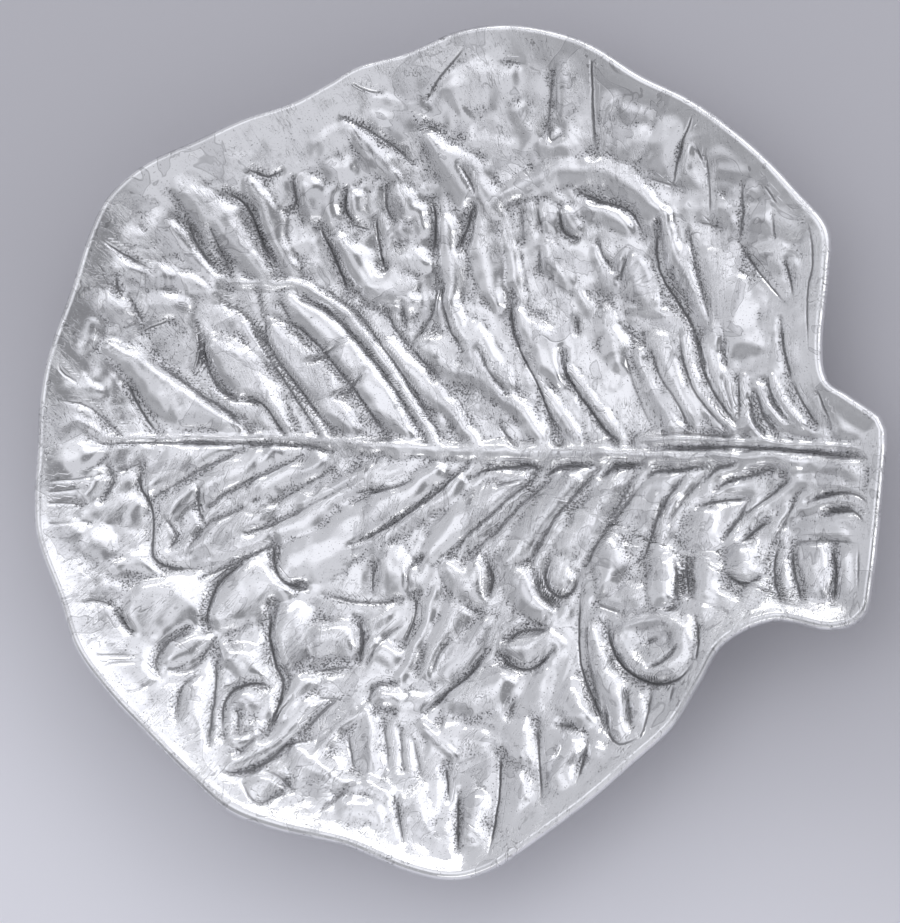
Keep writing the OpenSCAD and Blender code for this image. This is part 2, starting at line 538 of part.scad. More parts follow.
module foot_tip_upper() { translate(tip_upper) foot(); }
module foot_tip_lower() { translate(tip_lower) foot(); }
module foot_stem_upper() { translate(stem_upper) foot(); }
module foot_stem_lower() { translate(stem_lower) foot(); }
module pad_tip_upper() { translate(tip_upper) pad(); }
module pad_tip_lower() { translate(tip_lower) pad(); }
module pad_stem_upper() { translate(stem_upper) pad(); }
module pad_stem_lower() { translate(stem_lower) pad(); }

leaf_plate();
foot_tip_upper();
foot_tip_lower();
foot_stem_upper();
foot_stem_lower();
pad_tip_upper();
pad_tip_lower();
pad_stem_upper();
pad_stem_lower();
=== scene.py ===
import math

import bpy
import numpy as np
from mathutils import Matrix, Vector


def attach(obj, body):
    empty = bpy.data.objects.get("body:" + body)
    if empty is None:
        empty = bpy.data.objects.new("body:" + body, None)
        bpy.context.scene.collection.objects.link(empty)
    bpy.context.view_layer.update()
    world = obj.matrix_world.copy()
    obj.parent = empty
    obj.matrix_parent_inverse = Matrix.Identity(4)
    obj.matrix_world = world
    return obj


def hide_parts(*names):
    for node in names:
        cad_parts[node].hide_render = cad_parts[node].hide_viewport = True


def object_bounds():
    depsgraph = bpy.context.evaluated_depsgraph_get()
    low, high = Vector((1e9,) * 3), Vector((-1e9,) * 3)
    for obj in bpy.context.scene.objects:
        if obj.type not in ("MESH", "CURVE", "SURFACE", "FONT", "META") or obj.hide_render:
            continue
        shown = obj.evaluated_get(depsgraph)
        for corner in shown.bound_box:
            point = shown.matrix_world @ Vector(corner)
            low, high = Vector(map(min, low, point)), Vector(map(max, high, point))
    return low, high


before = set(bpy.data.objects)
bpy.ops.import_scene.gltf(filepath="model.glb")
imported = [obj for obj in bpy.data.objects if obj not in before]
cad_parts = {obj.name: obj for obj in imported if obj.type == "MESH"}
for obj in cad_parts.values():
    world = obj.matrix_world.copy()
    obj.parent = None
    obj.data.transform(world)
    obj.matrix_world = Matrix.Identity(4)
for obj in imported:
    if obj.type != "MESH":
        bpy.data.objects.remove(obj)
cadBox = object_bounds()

bpy.ops.object.select_all(action="DESELECT")
mm = 0.001

# The drawing: the leaf seen from off its axis, in picture points, turned, tipped and rolled.
# Lengths are in millimetres, and the camera's distance in metres.
drawing = {
    "leafLength": 400,
    "yaw": math.radians(15),
    "pitch": math.radians(10),
    "roll": math.radians(4.4),
    "centre": (456, 449),
    "frameMiddle": (450, 461.5),
    "frameHeight": 923,
    "aimHeight": 40,
    "sensorWidth": 36,
    "cameraDistance": 5.0,
    "outline": [
        (878, 418), (846, 395), (824, 378), (820, 340), (827, 275), (827, 230), (800, 195),
        (755, 147), (695, 100), (640, 72), (592, 41), (545, 25), (500, 20), (455, 27), (405, 48),
        (358, 61), (328, 78), (290, 98), (240, 114), (195, 134), (140, 159), (103, 192), (83, 233),
        (66, 287), (43, 352), (34, 400), (32, 445), (29, 500), (33, 542), (55, 600), (72, 650),
        (105, 694), (145, 735), (190, 779), (230, 812), (280, 830), (345, 844), (405, 868),
        (450, 877), (488, 868), (525, 844), (585, 799), (630, 760), (670, 724), (697, 681),
        (722, 641), (770, 619), (825, 628), (858, 614), (868, 575), (880, 470), (882, 436)
    ],
}


def ease(t):
    t = np.clip(t, 0, 1)
    return t * t * (3 - 2 * t)


def through(a, b, c, d, t):
    return b + (c - a) * t / 2 + (2 * a - 5 * b + 4 * c - d) * t ** 2 / 2 \
        + (3 * b - a - 3 * c + d) * t ** 3 / 2


def smoothPath(points, steps, closed=False):
    p = np.array(points, float)
    if closed:
        p = np.vstack([p[-1:], p, p[:2]])
    else:
        p = np.vstack([2 * p[:1] - p[1:2], p, 2 * p[-1:] - p[-2:-1]])
    curve = [through(p[i], p[i + 1], p[i + 2], p[i + 3], k / steps)
             for i in range(len(p) - 3) for k in range(steps)]
    return np.array(curve if closed else curve + [p[-2]])


def unscaledPlan(place, above):
    across = place[..., 0] - drawing["centre"][0]
    up = drawing["centre"][1] - place[..., 1]
    cosRoll, sinRoll = math.cos(drawing["roll"]), math.sin(drawing["roll"])
    right = across * cosRoll - up * sinRoll
    top = across * sinRoll + up * cosRoll
    x = (right + above * math.sin(drawing["yaw"])) / math.cos(drawing["yaw"])
    deep = x * math.sin(drawing["yaw"]) + above * math.cos(drawing["yaw"])
    y = (top - deep * math.sin(drawing["pitch"])) / math.cos(drawing["pitch"])
    return np.stack([x, y], -1)


halfStations = unscaledPlan(smoothPath(drawing["outline"], 2, closed=True), 0)
shapeMiddle = (halfStations.min(0) + halfStations.max(0)) / 2
mmPerPoint = drawing["leafLength"] / np.ptp(halfStations[:, 0])


def planOf(place, above=0):
    return (unscaledPlan(np.asarray(place, float), above / mmPerPoint) - shapeMiddle) * mmPerPoint


def viewOf(plan, above):
    x, y = (plan / mmPerPoint + shapeMiddle).T
    a = above / mmPerPoint
    right = x * math.cos(drawing["yaw"]) - a * math.sin(drawing["yaw"])
    deep = x * math.sin(drawing["yaw"]) + a * math.cos(drawing["yaw"])
    top = deep * math.sin(drawing["pitch"]) + y * math.cos(drawing["pitch"])
    cosRoll, sinRoll = math.cos(drawing["roll"]), math.sin(drawing["roll"])
    return np.stack([drawing["centre"][0] + right * cosRoll + top * sinRoll,
                     drawing["centre"][1] + right * sinRoll - top * cosRoll], -1)


# Distance from each place to a path, the share of the path there, and the side it lies on
def pathDistance(place, path):
    best = np.full(len(place), 1e9)
    share = np.zeros(len(place))
    side = np.zeros(len(place))
    for i in range(len(path) - 1):
        a, b = path[i], path[i + 1]
        along = b - a
        reach = max(along @ along, 1e-9)
        t = np.clip(((place - a) @ along) / reach, 0, 1)
        gap = place - a - t[:, None] * along
        far = np.hypot(gap[:, 0], gap[:, 1])
        near = far < best
        best[near] = far[near]
        share[near] = (i + t[near]) / (len(path) - 1)
        side[near] = (along[0] * gap[near, 1] - along[1] * gap[near, 0]) / math.sqrt(reach)
    return best, share, side


# Smooth noise between -1 and 1, the same on each run
def softNoise(x, y, seed):
    xi, yi = np.floor(x).astype(np.int64), np.floor(y).astype(np.int64)
    xf, yf = x - xi, y - yi
    total = 0
    for dx in (0, 1):
        for dy in (0, 1):
            h = ((xi + dx) * 374761393 + (yi + dy) * 668265263 + seed * 974634777) & 0x7FFFFFFF
            h = ((h ^ (h >> 13)) * 1274126177) & 0x7FFFFFFF
            angle = (h ^ (h >> 16)) % 4096 / 4096 * 2 * math.pi
            weight = ease(1 - np.abs(xf - dx)) * ease(1 - np.abs(yf - dy))
            total = total + weight * (np.cos(angle) * (xf - dx) + np.sin(angle) * (yf - dy))
    return total * 1.6


def noiseAt(place, length, seed):
    return softNoise(place[:, 0] / length, place[:, 1] / length, seed)


# The leaf: sizes in millimetres, and places in the drawing's points. A pillow or a crease has
# its height, then the places along its line, each with the half width there.
leaf = {
    "name": "leaf_casting",
    "gridSteps": 264,
    "backSteps": 88,
    "backLevel": 8.5,
    "floorLevel": 13.0,
    "dishDepth": 27.0,
    "borderWidth": 125.0,
    "rimWave": 2.2,
    "rimCounts": (3, 5, 9),
    "rimStarts": (25, -60, 110),
    "rimShares": (0.4, 0.35, 0.25),
    "rimRadius": 3.0,
    "rimInset": 0.15,
    "rimTop": cadBox[1][2] / mm - 1.1,
    "rimEasing": 1.0,
    "innerInset": 7.5,
    "landRings": (6.2, 5.1, 4.1),
    "beadAngles": (90, 68, 45, 22, 0, -25, -50, -75, -90),
    "wall": 4.5,
    "landSwell": 0.75,
    "landReach": 12,
    "beadSwell": 0.45,
    "beadReach": 2.2,
    "domeSpread": 1.28,
    "domePower": 1.05,
    "meeting": 3.0,
    "creaseSpread": 2.6,
    # the dark line in a crease, painted shade, and the groove bumped along it: how far they are
    # felt, how they fade across and towards their ends, and the height and half width from which
    # they are drawn at full strength
    "creaseReach": 7.0,
    "creaseFade": 1.3,
    "creaseTaper": (4, 0.25),
    "fullCreaseHeight": 2,
    "fullCreaseWidth": 3,
    "grainRows": 5.0,
    "grainLength": 42.0,
    "lowerGrainShift": 7.0,
    "rasterStep": 2.5,
    "rasterSize": (906, 930),
    "formBend": 3.5,
    # share, length and seed of each wave that bends the pillows
    "formWaves": ((1, 27, 71), (0.5, 12, 73)),
    # share and softness of each layer of the pillows
    "pillowLayers": ((1.12, 1.8), (0.2, 6)),
    # rounds of smoothing, depth that counts as full, and share of each kind of recess
    "recesses": ((6, 0.55, 0.55), (40, 1.8, 0.45)),
    # rounds of smoothing for the relief that shows at the back, and for the back itself
    "backSmoothing": (12, 2),
    "backRelief": 0.6,
    "feet": [(-80, 65), (-80, -65), (80, 65), (80, -65)],
    "seatRadius": 16.0,
    "seatFade": 18.0,
    "pillows": [
        # tip end, below the midrib
        [2.2, [(48, 462, 8), (70, 458, 14), (94, 451, 7)]],
        [1.8, [(94, 474, 7), (88, 492, 9)]],
        [1.0, [(85, 512, 7), (115, 508, 10), (140, 503, 7)]],
        [2.4, [(143, 493, 7), (160, 478, 13), (185, 462, 13), (215, 450, 7)]],
        [2.0, [(165, 515, 6), (195, 492, 12), (235, 470, 12), (275, 452, 6)]],
        [1.8, [(188, 552, 5), (212, 538, 14), (242, 522, 12), (268, 508, 6)]],
        [1.6, [(215, 556, 5), (250, 545, 10), (290, 528, 10), (325, 508, 6)]],
        [1.6, [(240, 498, 5), (280, 480, 9), (320, 462, 5)]],
        [1.2, [(54, 530, 8), (72, 528, 8)]],
        [1.4, [(90, 543, 11), (99, 545, 11)]],
        [1.4, [(112, 568, 5), (145, 560, 9)]],
        [-1.0, [(105, 577, 5), (130, 580, 8), (160, 577, 5)]],
        [3.2, [(136, 612, 18), (158, 604, 28), (180, 600, 24)]],
        [3.6, [(220, 614, 15), (243, 597, 26), (266, 582, 24), (284, 592, 10)]],
        [2.4, [(168, 661, 8), (185, 648, 12), (204, 637, 6)]],
        [3.0, [(232, 656, 12), (248, 664, 16)]],
        [1.8, [(247, 700, 11)]],
        [3.4, [(292, 618, 16), (290, 640, 20), (284, 658, 11)]],
        [1.4, [(196, 692, 12), (192, 714, 11)]],
        [3.2, [(296, 562, 18), (322, 552, 22), (352, 545, 12)]],
        # tip end, above the midrib
        [1.8, [(179, 176, 15), (189, 192, 14)]],
        [3.4, [(188, 192, 12), (214, 218, 17), (238, 245, 14), (264, 273, 7)]],
        [2.6, [(250, 180, 7), (262, 205, 10), (275, 240, 10), (292, 268, 7)]],
        [1.8, [(156, 222, 12), (178, 238, 11), (200, 262, 8), (216, 279, 4)]],
        [1.6, [(118, 262, 5), (150, 270, 7), (190, 281, 8), (222, 298, 5)]],
        [-2.2, [(160, 328, 18), (176, 352, 20), (186, 374, 11)]],
        [1.8, [(158, 304, 12), (176, 306, 12)]],
        [3.6, [(106, 346, 7), (138, 366, 14), (170, 393, 23), (206, 415, 14), (240, 428, 4)]],
        [3.4, [(214, 346, 11), (236, 366, 19), (262, 396, 15), (288, 428, 5)]],
        [2.0, [(232, 406, 7), (255, 413, 11), (276, 430, 5)]],
        [2.2, [(104, 302, 10), (120, 312, 10)]],
        [1.8, [(88, 324, 7), (80, 345, 8)]],
        [1.4, [(150, 180, 6), (158, 195, 5)]],
        [-1.0, [(108, 216, 8), (120, 217, 8)]],
        [1.2, [(126, 232, 6), (142, 236, 7)]],
        [1.4, [(232, 152, 11), (246, 158, 13)]],
        [1.6, [(58, 300, 6), (72, 322, 7)]],
        [1.4, [(52, 392, 5), (75, 384, 8), (95, 392, 6)]],
        [2.6, [(272, 330, 9), (295, 362, 17), (322, 396, 17), (352, 428, 8)]],
        [2.8, [(288, 300, 9), (320, 326, 14), (355, 366, 17), (385, 402, 17), (410, 434, 6)]],
        [2.8, [(308, 184, 14), (316, 208, 11)]],
        [-1.6, [(314, 196, 7), (318, 210, 6)]],
        # middle, above the midrib
        [2.4, [(384, 342, 8), (414, 374, 9), (446, 406, 9), (474, 438, 5)]],
        [3.6, [(374, 288, 12), (394, 288, 21), (410, 302, 10)]],
        [2.6, [(424, 342, 10), (440, 354, 15), (462, 374, 8)]],
        [3.2, [(446, 300, 10), (456, 325, 16), (472, 350, 12), (492, 374, 5)]],
        [2.4, [(464, 368, 6), (500, 388, 9), (526, 416, 8), (545, 441, 5)]],
        [2.0, [(476, 328, 6), (490, 356, 11), (508, 384, 7)]],
        [3.2, [(520, 314, 7), (538, 338, 17), (550, 360, 14), (562, 380, 5)]],
        [2.2, [(518, 346, 4), (536, 380, 7), (556, 408, 8), (580, 440, 6)]],
        [2.0, [(570, 368, 4), (592, 400, 7), (622, 440, 6)]],
        [1.8, [(560, 272, 8), (568, 280, 8)]],
        [1.6, [(578, 290, 6), (588, 306, 6)]],
        [2.6, [(606, 312, 9), (618, 340, 11), (624, 366, 7)]],
        # middle, below the midrib
        [2.6, [(522, 479, 8), (492, 500, 15), (458, 530, 16), (430, 556, 9)]],
        [2.4, [(576, 482, 8), (552, 505, 14), (528, 536, 13), (508, 562, 7)]],
        [2.2, [(612, 486, 8), (592, 515, 13), (572, 546, 11)]],
        [2.6, [(442, 470, 5), (404, 494, 12), (362, 522, 19), (326, 542, 12)]],
        [1.8, [(382, 466, 5), (342, 486, 9), (306, 508, 7)]],
        [1.2, [(400, 470, 4), (376, 482, 6)]],
        [1.6, [(462, 480, 5), (430, 506, 7), (392, 532, 6), (360, 548, 5)]],
        # top
        [1.8, [(460, 86, 15), (484, 79, 24), (506, 82, 14)]],
        [1.2, [(456, 100, 5), (468, 112, 5)]],
        [1.2, [(370, 91, 4), (396, 99, 5), (428, 110, 4)]],
        [1.3, [(384, 70, 10), (408, 78, 13)]],
        [1.2, [(378, 116, 9), (402, 126, 12)]],
        [2.2, [(352, 124, 4), (366, 145, 8), (385, 165, 8), (402, 179, 4)]],
        [1.5, [(328, 140, 12), (346, 130, 10)]],
        [1.4, [(334, 168, 10), (348, 166, 8)]],
        [3.4, [(430, 134, 7), (452, 160, 14), (475, 186, 18), (490, 206, 13)]],
        [2.8, [(444, 220, 9), (450, 250, 12), (455, 282, 11), (450, 300, 5)]],
        [2.6, [(484, 222, 11), (488, 250, 14), (491, 280, 12), (497, 306, 5)]],
        [2.0, [(500, 205, 5), (508, 235, 5), (516, 270, 6), (524, 302, 4)]],
        [2.9, [(404, 196, 13), (408, 206, 12)]],
        [2.4, [(356, 195, 9), (358, 210, 8)]],
        [2.0, [(330, 192, 8), (331, 212, 7)]],
        [1.8, [(402, 230, 9)]],
        [3.2, [(337, 238, 9), (352, 258, 14), (372, 284, 10)]],
        [2.4, [(405, 258, 13), (423, 262, 10)]],
        [1.6, [(388, 236, 6), (384, 256, 6)]],
        [2.0, [(420, 205, 6), (424, 228, 7)]],
        [1.6, [(566, 62, 9), (566, 90, 9), (563, 112, 6)]],
        [1.8, [(556, 142, 13), (570, 148, 10)]],
        [2.4, [(500, 196, 8), (535, 180, 12), (570, 168, 12), (604, 170, 13), (640, 192, 10),
               (664, 212, 6)]],
        [1.6, [(590, 208, 5), (608, 213, 9), (626, 224, 5)]],
        [2.0, [(546, 244, 8), (552, 262, 9)]],
        [2.4, [(565, 212, 9), (576, 226, 8)]],
        [2.0, [(540, 205, 7), (545, 222, 6)]],
        [2.9, [(630, 262, 11), (640, 284, 16), (650, 302, 10)]],
        [1.6, [(600, 250, 8), (610, 285, 8)]],
        [1.4, [(520, 110, 8), (528, 128, 9)]],
        [1.2, [(475, 140, 10), (500, 145, 12)]],
        # top towards the stem
        [3.0, [(667, 212, 5), (672, 238, 6), (684, 268, 9), (698, 295, 8), (708, 318, 6),
               (717, 346, 4)]],
        [2.4, [(712, 262, 13), (728, 300, 20), (742, 342, 15)]],
        [1.5, [(754, 222, 12), (780, 222, 14), (796, 232, 8)]],
        [1.8, [(764, 256, 9), (786, 262, 11)]],
        [1.5, [(719, 152, 8), (736, 156, 8)]],
        [1.4, [(717, 171, 7), (743, 173, 8)]],
        [1.2, [(752, 192, 7)]],
        [1.4, [(616, 94, 4), (607, 112, 4), (603, 138, 4), (597, 158, 4)]],
        [1.1, [(628, 112, 7), (648, 111, 6)]],
        [1.3, [(628, 148, 12), (640, 132, 10)]],
        [1.5, [(670, 126, 11), (658, 152, 12)]],
        [1.8, [(690, 250, 4), (700, 276, 5), (707, 300, 4)]],
        [1.6, [(628, 306, 4), (648, 309, 5), (664, 311, 4)]],
        [2.0, [(606, 330, 9), (612, 352, 8)]],
        [1.8, [(800, 318, 5), (798, 345, 6), (802, 372, 5)]],
        [1.6, [(688, 150, 6), (686, 168, 6)]],
        [1.5, [(724, 205, 9)]],
        # stem end, above the midrib
        [2.1, [(640, 348, 4), (646, 372, 4), (660, 401, 5), (672, 426, 5), (678, 442, 4)]],
        [2.0, [(660, 342, 11), (668, 375, 13), (686, 412, 9)]],
        [2.3, [(683, 336, 3.5), (688, 365, 4), (700, 395, 4), (718, 421, 5), (738, 438, 4)]],
        [2.4, [(707, 345, 9), (716, 375, 11), (728, 405, 10), (742, 428, 5)]],
        [2.4, [(743, 378, 4), (744, 405, 5), (751, 426, 5), (764, 441, 4)]],
        [2.2, [(757, 386, 4), (764, 405, 6), (778, 424, 4)]],
        [2.4, [(768, 376, 4), (775, 392, 6), (787, 410, 6), (800, 427, 4)]],
        [1.8, [(788, 342, 6), (790, 366, 6)]],
        [2.2, [(803, 362, 4), (806, 385, 6), (817, 412, 4)]],
        [2.0, [(826, 408, 5), (838, 428, 6), (856, 436, 5)]],
        # midrib and the bright cores of the veins
        [1.8, [(96, 441, 3), (160, 438, 3), (215, 437, 4), (300, 438, 4), (345, 443, 5),
               (400, 448, 6)]],
        [2.6, [(345, 444, 4), (400, 448, 7), (460, 450, 8), (520, 452, 9), (610, 453, 9)]],
        [2.0, [(242, 322, 4), (264, 352, 4), (286, 382, 4), (306, 410, 4), (326, 438, 4)]],
        [2.4, [(236, 281, 4), (290, 281, 4), (316, 291, 4), (350, 318, 4), (386, 363, 4),
               (412, 400, 4), (438, 444, 4)]],
        [1.4, [(56, 428, 3), (72, 421, 3), (92, 428, 3), (106, 440, 3)]],
        # stem
        [3.0, [(600, 452, 8), (640, 456, 8), (700, 457, 9), (760, 459, 9), (810, 464, 10),
               (868, 474, 11)]],
        [2.6, [(640, 443, 5), (676, 440, 6), (712, 441, 6), (760, 444, 4), (820, 447, 4),
               (866, 450, 4)]],
        [1.8, [(790, 478, 6), (826, 484, 8), (860, 494, 8)]],
        # stem end, below the midrib
        [1.4, [(655, 498, 5), (650, 520, 6)]],
        [1.8, [(674, 500, 8), (669, 520, 9), (660, 546, 8)]],
        [1.9, [(708, 514, 11), (701, 536, 12)]],
        [1.2, [(717, 492, 4), (736, 487, 4)]],
        [1.4, [(716, 476, 4), (744, 470, 4)]],
        [1.7, [(752, 514, 5), (774, 497, 7), (796, 482, 6)]],
        [1.7, [(773, 532, 5), (790, 511, 8), (806, 496, 7)]],
        [3.2, [(606, 546, 12), (610, 564, 15), (606, 586, 8)]],
        [2.2, [(632, 592, 10)]],
        [3.2, [(665, 568, 14), (662, 592, 13)]],
        [3.0, [(708, 566, 13), (706, 588, 12)]],
        [3.6, [(740, 555, 14), (742, 566, 16)]],
        [1.6, [(783, 566, 4), (784, 584, 4)]],
        [3.4, [(808, 551, 14), (814, 570, 14), (812, 590, 8)]],
        [2.6, [(842, 558, 8), (843, 586, 9)]],
        [2.2, [(754, 588, 9), (745, 606, 7)]],
        [2.0, [(800, 510, 4), (820, 502, 5), (846, 502, 5), (862, 512, 4)]],
        [1.6, [(824, 520, 4), (842, 517, 5), (858, 526, 4)]],
        [1.1, [(804, 529, 8), (838, 528, 8)]],
        [1.4, [(812, 486, 8)]],
        # middle, below
        [3.0, [(392, 562, 17), (402, 580, 14)]],
        [1.4, [(424, 572, 8), (418, 586, 7)]],
        [3.2, [(452, 572, 9), (470, 588, 16), (479, 572, 12)]],
        [3.0, [(520, 578, 12), (530, 600, 14), (550, 612, 6)]],
        [2.0, [(557, 571, 11), (564, 582, 9)]],
        [2.6, [(596, 632, 7), (600, 666, 10), (608, 704, 8)]],
        [1.8, [(436, 588, 3), (430, 618, 4), (417, 650, 4), (400, 682, 4)]],
        [2.8, [(458, 610, 12), (446, 640, 14), (430, 672, 8)]],
        [1.8, [(484, 628, 9), (466, 654, 12), (448, 676, 8)]],
        [2.0, [(506, 648, 5), (525, 645, 9), (547, 634, 5)]],
        [3.0, [(458, 700, 13), (480, 694, 18), (502, 678, 11)]],
        [1.3, [(448, 734, 9), (480, 737, 11)]],
        [2.2, [(424, 724, 4), (440, 743, 6), (456, 754, 4)]],
        [2.8, [(520, 735, 13), (522, 750, 12)]],
        [2.0, [(522, 774, 6), (523, 792, 6)]],
        [2.8, [(571, 698, 14), (580, 712, 12)]],
        [3.2, [(570, 742, 12), (560, 775, 12)]],
        [1.6, [(590, 772, 7)]],
        [2.6, [(476, 798, 10), (472, 832, 10)]],
        [2.2, [(366, 711, 4), (346, 722, 4), (326, 745, 4), (314, 764, 3)]],
        [2.2, [(368, 713, 4), (374, 736, 4), (370, 764, 4)]],
        [3.4, [(383, 697, 9), (391, 697, 9)]],
        [3.2, [(324, 640, 14), (344, 640, 16)]],
        [1.7, [(371, 625, 5), (393, 617, 4)]],
        [1.9, [(376, 648, 9), (391, 655, 10)]],
        [1.6, [(400, 706, 9), (425, 700, 9)]],
        [1.5, [(548, 655, 8), (556, 640, 7)]],
        [1.4, [(538, 700, 9), (545, 672, 8)]],
        [1.4, [(404, 800, 5), (420, 790, 5)]],
        [1.3, [(350, 808, 8), (375, 812, 9)]],
        # bottom
        [2.6, [(232, 742, 4), (252, 744, 8), (258, 735, 5)]],
        [2.4, [(232, 768, 6), (262, 752, 8), (290, 730, 8), (316, 704, 6)]],
        [2.2, [(286, 712, 9), (298, 694, 12), (312, 680, 7)]],
        [3.2, [(232, 792, 9), (250, 792, 13), (272, 782, 10), (282, 776, 6)]],
        [2.6, [(300, 752, 10), (312, 764, 12), (330, 770, 9)]],
        [1.8, [(330, 776, 8), (352, 784, 8)]],
        [1.6, [(366, 784, 8), (386, 796, 9)]],
        [1.4, [(350, 812, 10), (378, 808, 10)]],
        [1.5, [(414, 800, 8), (424, 826, 9)]],
        [1.2, [(330, 812, 6), (312, 826, 6)]],
        # bottom towards the stem
        [1.7, [(636, 642, 24), (654, 645, 30), (668, 644, 24)]],
        [2.9, [(619, 636, 5), (628, 658, 7), (648, 670, 7), (672, 664, 7), (686, 645, 8),
               (680, 627, 8), (660, 618, 7), (640, 622, 6), (626, 628, 5)]],
        [-1.7, [(646, 643, 13), (662, 640, 11)]],
        [3.0, [(593, 630, 6), (600, 660, 10), (612, 692, 11), (621, 728, 9)]],
        [1.6, [(636, 702, 7), (640, 718, 6)]],
        [1.6, [(658, 696, 7), (662, 712, 6)]],
        [1.4, [(676, 690, 7)]],
        [2.0, [(590, 745, 7), (604, 752, 8), (622, 745, 7)]],
        [1.6, [(588, 768, 6), (598, 762, 6)]],
        [1.6, [(686, 622, 7), (700, 610, 8)]],
        [1.8, [(720, 596, 8), (728, 606, 8)]],
    ],
    "creases": [
        [-1.4, [(105, 466, 3), (109, 481, 4), (98, 502, 3)]],
        [-0.7, [(42, 482, 3), (80, 478, 3), (120, 470, 3), (140, 461, 3)]],
        [-0.6, [(34, 493, 3), (60, 491, 3), (84, 487, 3)]],
        [-0.7, [(34, 506, 3), (60, 503, 3.5), (82, 505, 3)]],
        [-0.5, [(40, 525, 3), (90, 522, 3)]],
        [-2.2, [(138, 464, 4), (136, 485, 6), (148, 506, 8), (150, 530, 9), (150, 555, 7),
                (165, 567, 5), (200, 569, 4)]],
        [-1.6, [(163, 520, 3), (173, 535, 4), (166, 549, 3)]],
        [-1.7, [(197, 486, 3), (195, 505, 5), (199, 521, 3)]],
        [-1.2, [(183, 556, 3), (192, 538, 4), (207, 523, 3), (240, 508, 3)]],
        [-1.4, [(200, 577, 4), (222, 568, 4), (245, 557, 4), (272, 544, 4)]],
        [-1.6, [(76, 603, 4), (94, 601, 7), (108, 605, 4)]],
        [-1.7, [(114, 612, 4), (120, 622, 4), (128, 633, 3)]],
        [-1.8, [(204, 632, 5), (206, 606, 6), (216, 582, 6), (238, 564, 5)]],
        [-1.4, [(156, 674, 4), (153, 660, 6), (165, 642, 5), (186, 628, 4)]],
        [-1.2, [(172, 672, 4), (192, 668, 5), (204, 652, 5), (213, 641, 4)]],
        [-1.9, [(214, 658, 5), (214, 690, 6), (210, 722, 5), (208, 745, 4)]],
        [-2.0, [(222, 735, 6), (222, 708, 6), (233, 690, 6), (254, 684, 6), (268, 688, 5)]],
        [-1.6, [(238, 712, 6), (238, 730, 6)]],
        [-2.4, [(268, 606, 5), (268, 640, 7), (274, 664, 10), (282, 684, 9), (276, 712, 5),
                (262, 738, 4)]],
        [-1.1, [(175, 722, 3), (175, 702, 4), (181, 686, 4), (195, 675, 3)]],
        [-0.8, [(85, 655, 3), (108, 656, 4), (132, 655, 3)]],
        [-0.7, [(92, 672, 3), (110, 664, 3), (135, 662, 3)]],
        [-0.9, [(100, 688, 3), (126, 692, 4), (150, 684, 3)]],
        [-2.2, [(272, 540, 5), (271, 562, 7), (282, 582, 5), (302, 586, 4)]],
        [-2.2, [(222, 188, 5), (244, 203, 7), (257, 234, 8), (270, 260, 5)]],
        [-1.8, [(182, 214, 4), (194, 242, 6), (214, 268, 5)]],
        [-1.4, [(208, 226, 4), (218, 250, 5), (228, 274, 4)]],
        [-1.8, [(100, 239, 2.5), (124, 254, 5), (148, 268, 6)]],
        [-1.6, [(138, 330, 5), (152, 324, 6), (164, 320, 3)]],
        [-1.7, [(150, 360, 4), (180, 380, 4), (202, 396, 4), (226, 412, 4), (246, 430, 4)]],
        [-1.6, [(200, 334, 4), (203, 360, 5), (216, 386, 5), (236, 400, 3)]],
        [-1.7, [(244, 398, 4), (262, 405, 4), (276, 424, 4), (284, 435, 3)]],
        [-2.0, [(194, 322, 4), (197, 350, 5), (193, 368, 5)]],
        [-1.8, [(112, 274, 5), (115, 292, 6)]],
        [-1.4, [(128, 298, 5), (140, 322, 5)]],
        [-1.4, [(218, 300, 6), (230, 308, 6)]],
        [-2.2, [(124, 382, 5), (134, 404, 8), (152, 432, 8)]],
        [-1.2, [(48, 354, 4), (60, 372, 5), (74, 382, 4)]],
        [-1.0, [(60, 400, 3), (84, 406, 3), (108, 426, 3), (122, 440, 3)]],
        [-1.9, [(248, 166, 6), (264, 173, 7), (278, 168, 4)]],
        [-1.8, [(290, 176, 5), (294, 198, 6), (286, 208, 4)]],
        [-1.6, [(440, 282, 4), (444, 304, 5), (450, 328, 5), (464, 350, 4)]],
        [-1.4, [(432, 250, 7), (436, 282, 6), (434, 306, 3), (420, 332, 3), (410, 344, 4)]],
        [-1.5, [(384, 308, 4), (396, 330, 4), (410, 348, 5)]],
        [-1.2, [(402, 304, 3), (406, 326, 3)]],
        [-1.4, [(410, 346, 5), (424, 362, 5), (436, 376, 4)]],
        [-1.6, [(480, 350, 4), (490, 372, 4), (506, 392, 4)]],
        [-1.9, [(512, 292, 6), (510, 316, 6), (518, 346, 5), (534, 376, 5), (546, 404, 4),
                (560, 442, 4)]],
        [-1.9, [(563, 350, 4), (567, 374, 4), (584, 400, 5), (604, 428, 4), (618, 442, 4)]],
        [-1.6, [(500, 424, 5), (508, 436, 5), (516, 446, 3)]],
        [-1.8, [(576, 318, 4), (577, 330, 4)]],
        [-1.8, [(470, 479, 3), (485, 469, 4), (510, 466, 4), (536, 467, 4), (532, 476, 3)]],
        [-1.8, [(545, 476, 3), (560, 467, 4), (590, 465, 4)]],
        [-1.8, [(602, 476, 3), (616, 467, 4), (640, 465, 4)]],
        [-1.4, [(540, 470, 3), (516, 494, 3), (482, 524, 3), (448, 556, 3)]],
        [-1.3, [(550, 478, 3), (526, 500, 3), (496, 530, 3), (470, 556, 3)]],
        [-1.4, [(466, 466, 3), (432, 494, 3), (392, 522, 3), (352, 546, 3)]],
        [-1.5, [(598, 470, 3), (572, 498, 3), (548, 530, 3), (530, 562, 3)]],
        [-1.4, [(636, 474, 3), (616, 508, 3), (596, 546, 3), (584, 566, 3)]],
        [-1.0, [(330, 470, 3), (290, 492, 3), (250, 514, 3)]],
        [-1.0, [(360, 478, 3), (320, 500, 3), (280, 520, 3), (244, 534, 3)]],
